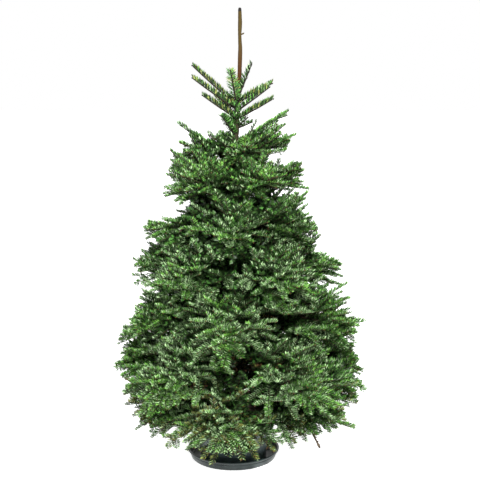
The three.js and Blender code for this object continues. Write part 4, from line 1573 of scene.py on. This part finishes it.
@dataclass
class Foliage:
    """Every twig, shoot and needle, dealt out into joined pieces by kind and by shade."""

    crown: Crown
    inner_from: float = 0.34  # the depth where broad needles begin
    inner_count: int = 30  # shaded shoots on the inner half of each bough
    inner_part: tuple[float, float, float] = (0.30, 0.16, 0.62)  # from where on a bare and on a clothed one, to where
    trunk_between: tuple[float, float] = (0.30, 1.26)  # the heights of the shoots on the trunk itself
    trunk_pitch: float = 0.005
    trunk_lengths: tuple[float, float] = (0.27, 0.12)  # of the lowest and of the highest
    shaded_below: float = 1.12  # the height under which they are deep in the crown
    dead_shoots: int = 34  # dried ones on the front of the trunk, over the lowest whorl
    dead_between: tuple[float, float] = (0.36, 0.60)
    dead_heading: float = 276
    dead_length: float = 0.17
    back_shoots: int = 9  # shaded ones behind the trunk
    back_between: tuple[float, float] = (0.24, 0.41)
    back_headings: tuple[float, float] = (50, 74)
    back_length: float = 0.18
    top_nodes: int = 12  # the solids that the slim shoots replace
    sprays: dict[Spray, list[Twig]] = field(default_factory=lambda: {spray: [] for spray in Spray})
    stems: list[Twig] = field(default_factory=list)
    masses: list[str] = field(default_factory=list)

    def _keep(self, twig: Twig, look: Spray) -> None:
        """Keeps a twig, with the look of its needles."""
        self.stems.append(twig)
        self.sprays[look].append(twig)

    def _inner_shoots(self, bough: Bough) -> None:
        """Grows the short shaded shoots that leave the inner half of a bough, some of them dried out.

        Args:
            bough: The bough.
        """
        if bough.tier >= self.crown.young_from:
            return
        bare = bough.tier < self.crown.bare_tiers
        bare_begin, clothed_begin, end = self.inner_part
        for n in range(self.inner_count):
            share = lerp(bare_begin if bare else clothed_begin, end, (n + 0.5) / self.inner_count)
            seed = bough.seed * 31 + n
            roll = math.radians(GOLDEN_ANGLE * n + spread(seed, 25))
            out = leaving(bough.along(share), roll, math.radians(52 + spread(seed + 0.2, 14)))
            root = bough.line(np.array([share]))[0]
            length = bough.room(root, out, 0.11, 0.01)
            if length < 0.04:
                continue
            kind, look = (Kind.DEAD, Spray.DEAD) if bare and n % 4 == 0 else (Kind.INNER, Spray.SHADED)
            self._keep(Twig(root, out, flat_up(out, 0), length, 0.05, (0.0022, 0.0012), kind, 0.2, False), look)

    def _from_trunk(
        self, height: float, out: np.ndarray, length: float, kind: Kind, look: Spray, curl: float = 0.05,
        bud: bool = False,
    ) -> None:
        """Grows one short shoot that leaves the trunk itself.

        Args:
            height: The height where it leaves.
            out: The way it sets out.
            length: Its length.
            kind: What it is.
            look: How its needles look.
            curl: How far its tip bends up, as a share of its length.
            bud: Whether it ends in a bud.
        """
        centre, radius = self.crown.trunk.spot(height)
        root = centre + out * radius * 0.5
        self._keep(Twig(root, out, flat_up(out, 0), length, curl, (0.003, 0.0014), kind, 0.2, bud), look)

    def _trunk_shoots(self) -> None:
        """Grows the short shoots between the whorls, the dried ones in front and the shaded ones behind."""
        low, high = self.trunk_between
        for n in range(int((high - low) / self.trunk_pitch)):
            height = low + n * self.trunk_pitch
            out = pointed(GOLDEN_ANGLE * n + spread(n + 0.5, 20), 38 + spread(n + 0.6, 20))
            length = lerp(*self.trunk_lengths, (height - low) / (high - low)) * (1 + spread(n + 0.7, 0.25))
            deep = height < self.shaded_below
            kind, look = (Kind.INNER, Spray.SHADED) if deep else (Kind.OLD, Spray.FOREST)
            self._from_trunk(height, out, length, kind, look, bud=True)
        for n in range(self.dead_shoots):
            height = lerp(*self.dead_between, (n + 0.5) / self.dead_shoots)
            out = pointed(self.dead_heading + spread(n + 0.15, 46), 12 + spread(n + 0.25, 26))
            self._from_trunk(height, out, self.dead_length + spread(n + 0.35, 0.05), Kind.DEAD, Spray.DEAD, 0.06)
        for n in range(self.back_shoots):
            height = lerp(*self.back_between, (n + 0.5) / self.back_shoots)
            out = pointed(lerp(*self.back_headings, chance(n + 0.45)), 0) + UP * 0.06
            self._from_trunk(height, out, self.back_length, Kind.INNER, Spray.SHADED)

    def grow(self) -> None:
        """Grows all the masses and deals their twigs out by look."""
        self._trunk_shoots()
        for bough in self.crown.boughs():
            young = bough.tier >= self.crown.young_from
            growth = MassGrowth(year=0.12, side_share=0.6, slack=0.035) if young else MassGrowth()
            growth.grow(bough)
            self._inner_shoots(bough)
            self.masses.append(f"foliage_{bough.place}")
            tips = np.array([twig.point(1.0) for twig in growth.twigs])
            for n, (twig, depth) in enumerate(zip(growth.twigs, bough.depth(tips))):
                if depth > self.inner_from:
                    twig.kind = Kind.INNER
                self._keep(twig, self._spray(twig, float(depth), bough.seed * 900 + n))

    @staticmethod
    def _spray(twig: Twig, depth: float, seed: float) -> Spray:
        """The look of a twig's needles.

        Args:
            twig: The twig.
            depth: How deep in the crown its tip lies, from 0 to 1.
            seed: The seed of its own unevenness.

        Returns:
            The look.
        """
        if twig.look is not None:
            return twig.look
        if twig.kind is Kind.INNER:
            return Spray.SHADED
        across, height = abs(twig.root[0]), twig.root[2]
        if height < 0.34 and chance(seed + 0.3) < 0.3:
            return Spray.OLIVE
        light = twig.tone - 1.3 * depth + spread(seed, 0.16) - (0.3 if twig.kind is Kind.OLD else 0.0)
        look = next((spray for limit, spray in LIT_FROM_DARK if light < limit), Spray.BRIGHT)
        # low in the middle of the tree: the greyer looks, lightened by painted fill light
        if height < 0.60 + 0.5 * chance(seed + 0.7) and across < 0.20 + 0.12 * chance(seed + 0.9):
            return GREYED.get(look, look)
        return look

    @staticmethod
    def _deal(dealt: dict[Shade, list[np.ndarray]], look: Spray, twigs: Sequence[Twig], seed: int) -> None:
        """Needles some twigs and deals their needles out by shade.

        Args:
            dealt: The corners of the needles of every shade, which this adds to.
            look: How many of the needles have which shade.
            twigs: The twigs.
            seed: The seed of the small unevenness.
        """
        corners, light = needle_corners(twigs, seed)
        # shades go out from the lowest light rank up, so the darkest shade is painted shade among the needles and the
        # palest a painted highlight
        begin = 0.0
        for shade, share in look.value:
            dealt[shade].append(corners[(light * 100 >= begin) & (light * 100 < begin + share)])
            begin += share

    def build_needles(self) -> None:
        """Makes the joined needles of every shade."""
        dealt: dict[Shade, list[np.ndarray]] = {shade: [] for shade in Shade}
        for number, (look, twigs) in enumerate(self.sprays.items()):
            if twigs:
                self._deal(dealt, look, twigs, NEEDLE_SEED + number)
        for shade, parts in dealt.items():
            corners = np.concatenate(parts)
            count = math.ceil(len(corners) * 2 / PIECE_LIMIT)
            material = NeedleFinish(shade).material()
            for n, batch in enumerate(np.array_split(corners, count)):
                piece = Bench.from_arrays(f"needles_{shade.value[0]}_{n + 1}", *needle_faces(batch))
                dressed(piece, material, self.masses)

    def build_stems(self, material: bpy.types.Material, bud_look: bpy.types.Material) -> None:
        """Makes the joined stems and buds of all twigs and shoots.

        Args:
            material: The bark of the stems.
            bud_look: The material of the buds.
        """
        joined = Joined()
        thick = [twig for twig in self.stems if twig.radii[0] > 0.0025]
        thin = [twig for twig in self.stems if twig.radii[0] <= 0.0025]
        joined.add(*twig_mesh(thick, sides=4, rings=5))
        joined.add(*twig_mesh(thin, sides=3, rings=2))
        dressed(joined.build("twigs"), material, self.masses)
        ends = [twig for twig in self.stems if twig.bud and twig.kind is Kind.SHOOT and twig.tone > 0.45]
        buds = Bench.from_arrays("buds", *bud_mesh(ends))
        dressed(buds, bud_look, self.masses)

    def build_top(self, bark: bpy.types.Material) -> None:
        """Makes the slim shoots round the leader.

        Args:
            bark: The material of their stems and buds.
        """
        nodes = [f"top_shoot_{n + 1}" for n in range(self.top_nodes)]
        dealt: dict[Shade, list[np.ndarray]] = {shade: [] for shade in Shade}
        twigs = []
        for number, shoot in enumerate(LEADER_SHOOTS):
            own = shoot.twigs(self.crown.trunk)
            twigs += own
            self._deal(dealt, shoot.look, own, TOP_SEED + number)
        for shade, parts in dealt.items():
            if parts:
                corners = np.concatenate(parts)
                needles = Bench.from_arrays(f"needles_top_{shade.value[0]}", *needle_faces(corners))
                dressed(needles, NeedleFinish(shade).material(), nodes)
        stems = Bench.from_arrays("top_stems", *twig_mesh(twigs, sides=8, rings=8))
        dressed(stems, bark, nodes)
        buds = Bench.from_arrays("top_buds", *bud_mesh(twigs, 0.0034, 0.0095))
        dressed(buds, bark, nodes)


@dataclass
class Limbs:
    """The boughs' wood, from inside the trunk to their tips."""

    crown: Crown
    sides: int = 9
    rings: int = 26
    foot_radius: float = 0.0105
    tip_radius: float = 0.0022
    relief: float = 0.12
    dead_from: float = 0.58  # the share of its bough where the dead twig leaves
    dead_bend: tuple[float, float, float] = (0.308, -0.170, 0.164)
    dead_tip: tuple[float, float, float] = (0.339, -0.208, 0.109)
    dead_stubs: tuple[tuple[int, tuple[float, float, float]], ...] = (  # the point that each leaves, and its way
        (9, (0.012, 0.004, -0.006)), (11, (0.004, -0.010, 0.010)),
    )

    def build(self, material: bpy.types.Material) -> None:
        """Makes every bough, joined into one piece.

        Args:
            material: The bark.
        """
        joined = Joined()
        boughs = self.crown.boughs()
        share = np.linspace(0.02, 0.92, self.rings)
        for bough in boughs:
            size = lerp(0.5, 1.0, bough.reach / 0.55)
            radii = size * (self.tip_radius + (self.foot_radius - self.tip_radius) * (1 - share) ** 1.15)
            points = bough.line(share)
            seeds = [bough.seed + n * 0.37 for n in range(len(share))]
            sway = np.array([[spread(seed + axis, 0.003) for axis in range(3)] for seed in seeds])
            points[2:-1] += sway[2:-1] * share[2:-1, None]
            joined.add(*tube(points, radii, self.sides, bough.seed, self.relief))
        self._dead_twig(joined, boughs[4])
        nodes = [f"bough_{bough.place}" for bough in boughs if bough.tier < self.crown.bare_tiers]
        dressed(joined.build("fir_boughs"), material, nodes)

    def _dead_twig(self, joined: Joined, bough: Bough) -> None:
        """Adds the bare dead twig that hangs out of the lowest whorl, with its two stubs and its knob.

        Args:
            joined: What it is added to.
            bough: The bough that it leaves.
        """
        root = bough.line(np.array([self.dead_from]))[0]
        bend, tip = np.array(self.dead_bend), np.array(self.dead_tip)
        share = np.linspace(0, 1, 14)[:, None]
        points = (1 - share) ** 2 * root + 2 * share * (1 - share) * bend + share**2 * tip
        radii = np.linspace(0.0046, 0.0032, 14)
        radii[-2] = 0.0050
        joined.add(*tube(points, radii, self.sides, 3, self.relief))
        stub_radii = np.array([0.0026, 0.0024, 0.0022, 0.0010])
        for at, way in self.dead_stubs:
            ends = points[at] + np.linspace(0, 1, 4)[:, None] * np.array(way)
            joined.add(*tube(ends, stub_radii, self.sides, at, self.relief))


# ---------------------------------------------------------------- pot, saucer and soil


@dataclass
class Container:
    """The nursery pot, the drip saucer under it and the soil in it. Profiles are radius and height in mm."""

    sides: int = 96
    saucer_profile: tuple[tuple[float, float], ...] = (
        (168, 0), (171, 0.6), (173, 2.4), (175, 8), (177.4, 16), (178.8, 20.4), (178.9, 21.8),
        (177.6, 23), (177.4, 25), (178.6, 27.6), (181.4, 28.8), (185, 29.4), (187.4, 31.2), (188, 33.6),
        (187.4, 36.2), (185.6, 37.7), (183.4, 38), (181.6, 37.4), (180, 35.8), (178.8, 33), (176, 24),
        (172.6, 12), (170.6, 6.4), (168.6, 4.5), (166, 4), (163, 4), (162, 5.2), (159, 5.2), (158, 4),
        (150, 4), (60, 4),
    )
    pot_profile: tuple[tuple[float, float], ...] = (
        (120, 8.5), (124, 8), (126, 4.9), (128, 4.35), (132, 4.35), (133.7, 5), (134.5, 7), (136, 20),
        (137.6, 34), (138.4, 35), (139.2, 38), (148, 120), (155, 190), (156.4, 203.4), (158, 204.6),
        (163, 205), (165.2, 206), (166, 208.5), (166, 221.5), (165.4, 224.6), (163.6, 226.2),
        (161, 226.35), (158.6, 226), (157, 224.6), (156, 221), (153, 200), (151, 185),
    )
    soil_height: float = 208
    soil_radius: float = 153.2
    soil_crown: float = 8

    def build(self) -> None:
        """Makes and dresses the saucer, the pot and the soil."""
        saucer_look = PlasticFinish("saucer_plastic", (0.009, 0.018, 0.018), (0.026, 0.039, 0.038), (0.22, 0.44))
        pot_look = PlasticFinish("pot_plastic", (0.034, 0.050, 0.052), (0.070, 0.088, 0.088), (0.32, 0.55))
        for name, node, profile, look in (
            ("drip_saucer", "saucer", self.saucer_profile, saucer_look),
            ("nursery_pot", "pot", self.pot_profile, pot_look),
        ):
            piece = Bench.ringed(name, [(0.0, 0.0, height * MM, radius * MM) for radius, height in profile], self.sides)
            self._finish(piece)
            dressed(piece, look.material(), [node])
        self._soil()

    @staticmethod
    def _finish(piece: bpy.types.Object) -> None:
        """Rounds a turned piece's edges.

        Args:
            piece: The turned piece.
        """
        bevel = piece.modifiers.new("rounded", "BEVEL")
        bevel.width = 0.5 * MM
        bevel.segments = 2
        bevel.limit_method = "ANGLE"
        bevel.angle_limit = math.radians(38)
        Bench.apply_all(piece)
        bpy.ops.object.shade_smooth_by_angle(angle=math.radians(40))

    def _soil(self) -> None:
        """Makes the uneven soil with its loose crumbs."""
        radii = [self.soil_radius] + list(np.linspace(self.soil_radius - 1, 12, 30))
        rings = []
        for n, radius in enumerate(radii):
            rise = self.soil_crown * (1 - (radius / self.soil_radius) ** 2)
            height = self.soil_height - (14 if n == 0 else 0) + rise
            rings.append((0.0, 0.0, height * MM, radius * MM))
        soil = Bench.ringed("potting_soil", rings, 72)
        for vertex in soil.data.vertices:
            if vertex.co.z > (self.soil_height - 5) * MM:
                vertex.co.z += 2.2 * MM * noise.fractal(vertex.co * 70, 1.0, 2.0, 4)
        bpy.ops.object.shade_smooth()
        finish = SoilFinish().material()
        dressed(soil, finish, ["soil"])
        dressed(self._crumbs(), finish, ["soil"])

    def _crumbs(self) -> bpy.types.Object:
        """Loose crumbs and bits of bark that lie on the soil.

        Returns:
            All of them as one object.
        """
        chances = np.random.default_rng(11)
        count = 900
        radius = np.sqrt(chances.uniform(0.05, 0.93, count)) * self.soil_radius * MM
        turn = chances.uniform(0, 2 * math.pi, count)
        rise = self.soil_crown * MM * (1 - (radius / (self.soil_radius * MM)) ** 2)
        centre = np.stack([radius * np.cos(turn), radius * np.sin(turn), self.soil_height * MM + rise], axis=1)
        size = chances.uniform(1.2, 4.2, (count, 1)) * MM * chances.uniform(0.6, 1.3, (count, 3))
        six = np.array([(1, 0, 0), (-1, 0, 0), (0, 1, 0), (0, -1, 0), (0, 0, 1), (0, 0, -1)], dtype=float)
        corners = centre[:, None, :] + six[None] * size[:, None, :] * chances.uniform(0.7, 1.2, (count, 6, 1))
        eight = [(0, 2, 4), (2, 1, 4), (1, 3, 4), (3, 0, 4), (2, 0, 5), (1, 2, 5), (3, 1, 5), (0, 3, 5)]
        faces = np.arange(count)[:, None, None] * 6 + np.array(eight)[None]
        return Bench.from_arrays("soil_crumbs", corners.reshape(-1, 3), faces.reshape(-1, 3))


# ---------------------------------------------------------------- studio


@dataclass
class Studio:
    """The white floor, the soft light and the camera."""

    camera_place: tuple[float, float, float] = (0.027, -3.8, 1.5)
    camera_pitch: float = 9.0  # degrees below level
    lens: float = 72.3
    sky: float = 1.0
    key_power: float = 398.0
    key_place: tuple[float, float, float] = (0.25, -3.7, 3.0)
    key_size: float = 0.4
    floor_glow: float = 0.8

    def build(self) -> None:
        """Makes the floor, the lights and the camera."""
        self._floor()
        self._lights()
        self._camera()
        bpy.context.scene.view_settings.view_transform = "Standard"

    def _floor(self) -> None:
        """A wide pale floor."""
        bpy.ops.object.select_all(action="DESELECT")
        bpy.ops.mesh.primitive_circle_add(vertices=64, radius=60, fill_type="NGON", location=(0, 0, 0))
        floor = bpy.context.object
        floor.name = "studio_floor"
        look = Look("studio_white")
        look.plain(
            Base_Color=(0.93, 0.93, 0.93, 1), Roughness=0.9, Specular_IOR_Level=0.0,
            Emission_Color=(1, 1, 1, 1), Emission_Strength=self.floor_glow,
        )
        floor.data.materials.append(look.material)

    def _lights(self) -> None:
        """A white surround and one large soft key light above and in front."""
        world = bpy.data.worlds.new("white_surround")
        world.use_nodes = True
        background = world.node_tree.nodes["Background"]
        background.inputs["Color"].default_value = (1, 1, 1, 1)
        background.inputs["Strength"].default_value = self.sky
        bpy.context.scene.world = world
        light = bpy.data.lights.new("key_light", "AREA")
        light.energy = self.key_power
        light.size = self.key_size
        key = bpy.data.objects.new("key_light", light)
        bpy.context.scene.collection.objects.link(key)
        key.location = self.key_place
        aim = Vector((0, 0, 0.9)) - Vector(self.key_place)
        key.rotation_euler = aim.to_track_quat("-Z", "Y").to_euler()

    def _camera(self) -> None:
        """A camera in front of the tree, pitched a little down."""
        camera = bpy.data.cameras.new("camera")
        camera.lens = self.lens
        camera.sensor_width = 36.0
        viewer = bpy.data.objects.new("camera", camera)
        bpy.context.scene.collection.objects.link(viewer)
        viewer.location = self.camera_place
        viewer.rotation_euler = (math.radians(90 - self.camera_pitch), 0, 0)
        bpy.context.scene.camera = viewer


# ---------------------------------------------------------------- assembly


def main() -> None:
    """Builds the tree round the frame's solids and sets it in its studio."""
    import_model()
    Studio().build()
    trunk = Trunk()
    crown = Crown(trunk)
    bark = BarkFinish().material()
    dressed(trunk.build([whorl.height for whorl in crown.whorls]), bark, ["trunk"])
    dressed(trunk.bud_stub(), bark, [])
    twig_bark = TwigFinish("twig_bark", (0.062, 0.042, 0.022), (0.016, 0.011, 0.007))
    bough_bark = TwigFinish("bough_bark", (0.075, 0.052, 0.033), (0.022, 0.015, 0.010), 90)
    bud_scales = TwigFinish("bud_scales", (0.120, 0.070, 0.028), (0.05, 0.028, 0.012))
    leader_bark = TwigFinish("leader_twig_bark", (0.014, 0.009, 0.005), (0.005, 0.004, 0.003))
    Limbs(crown).build(bough_bark.material())
    foliage = Foliage(crown)
    foliage.grow()
    log.info("%d twigs and shoots", len(foliage.stems))
    foliage.build_needles()
    foliage.build_stems(twig_bark.material(), bud_scales.material())
    foliage.build_top(leader_bark.material())
    Container().build()
    bpy.context.view_layer.update()


if __name__ == "__main__":
    logging.basicConfig(level=logging.INFO, format="%(message)s")
    main()
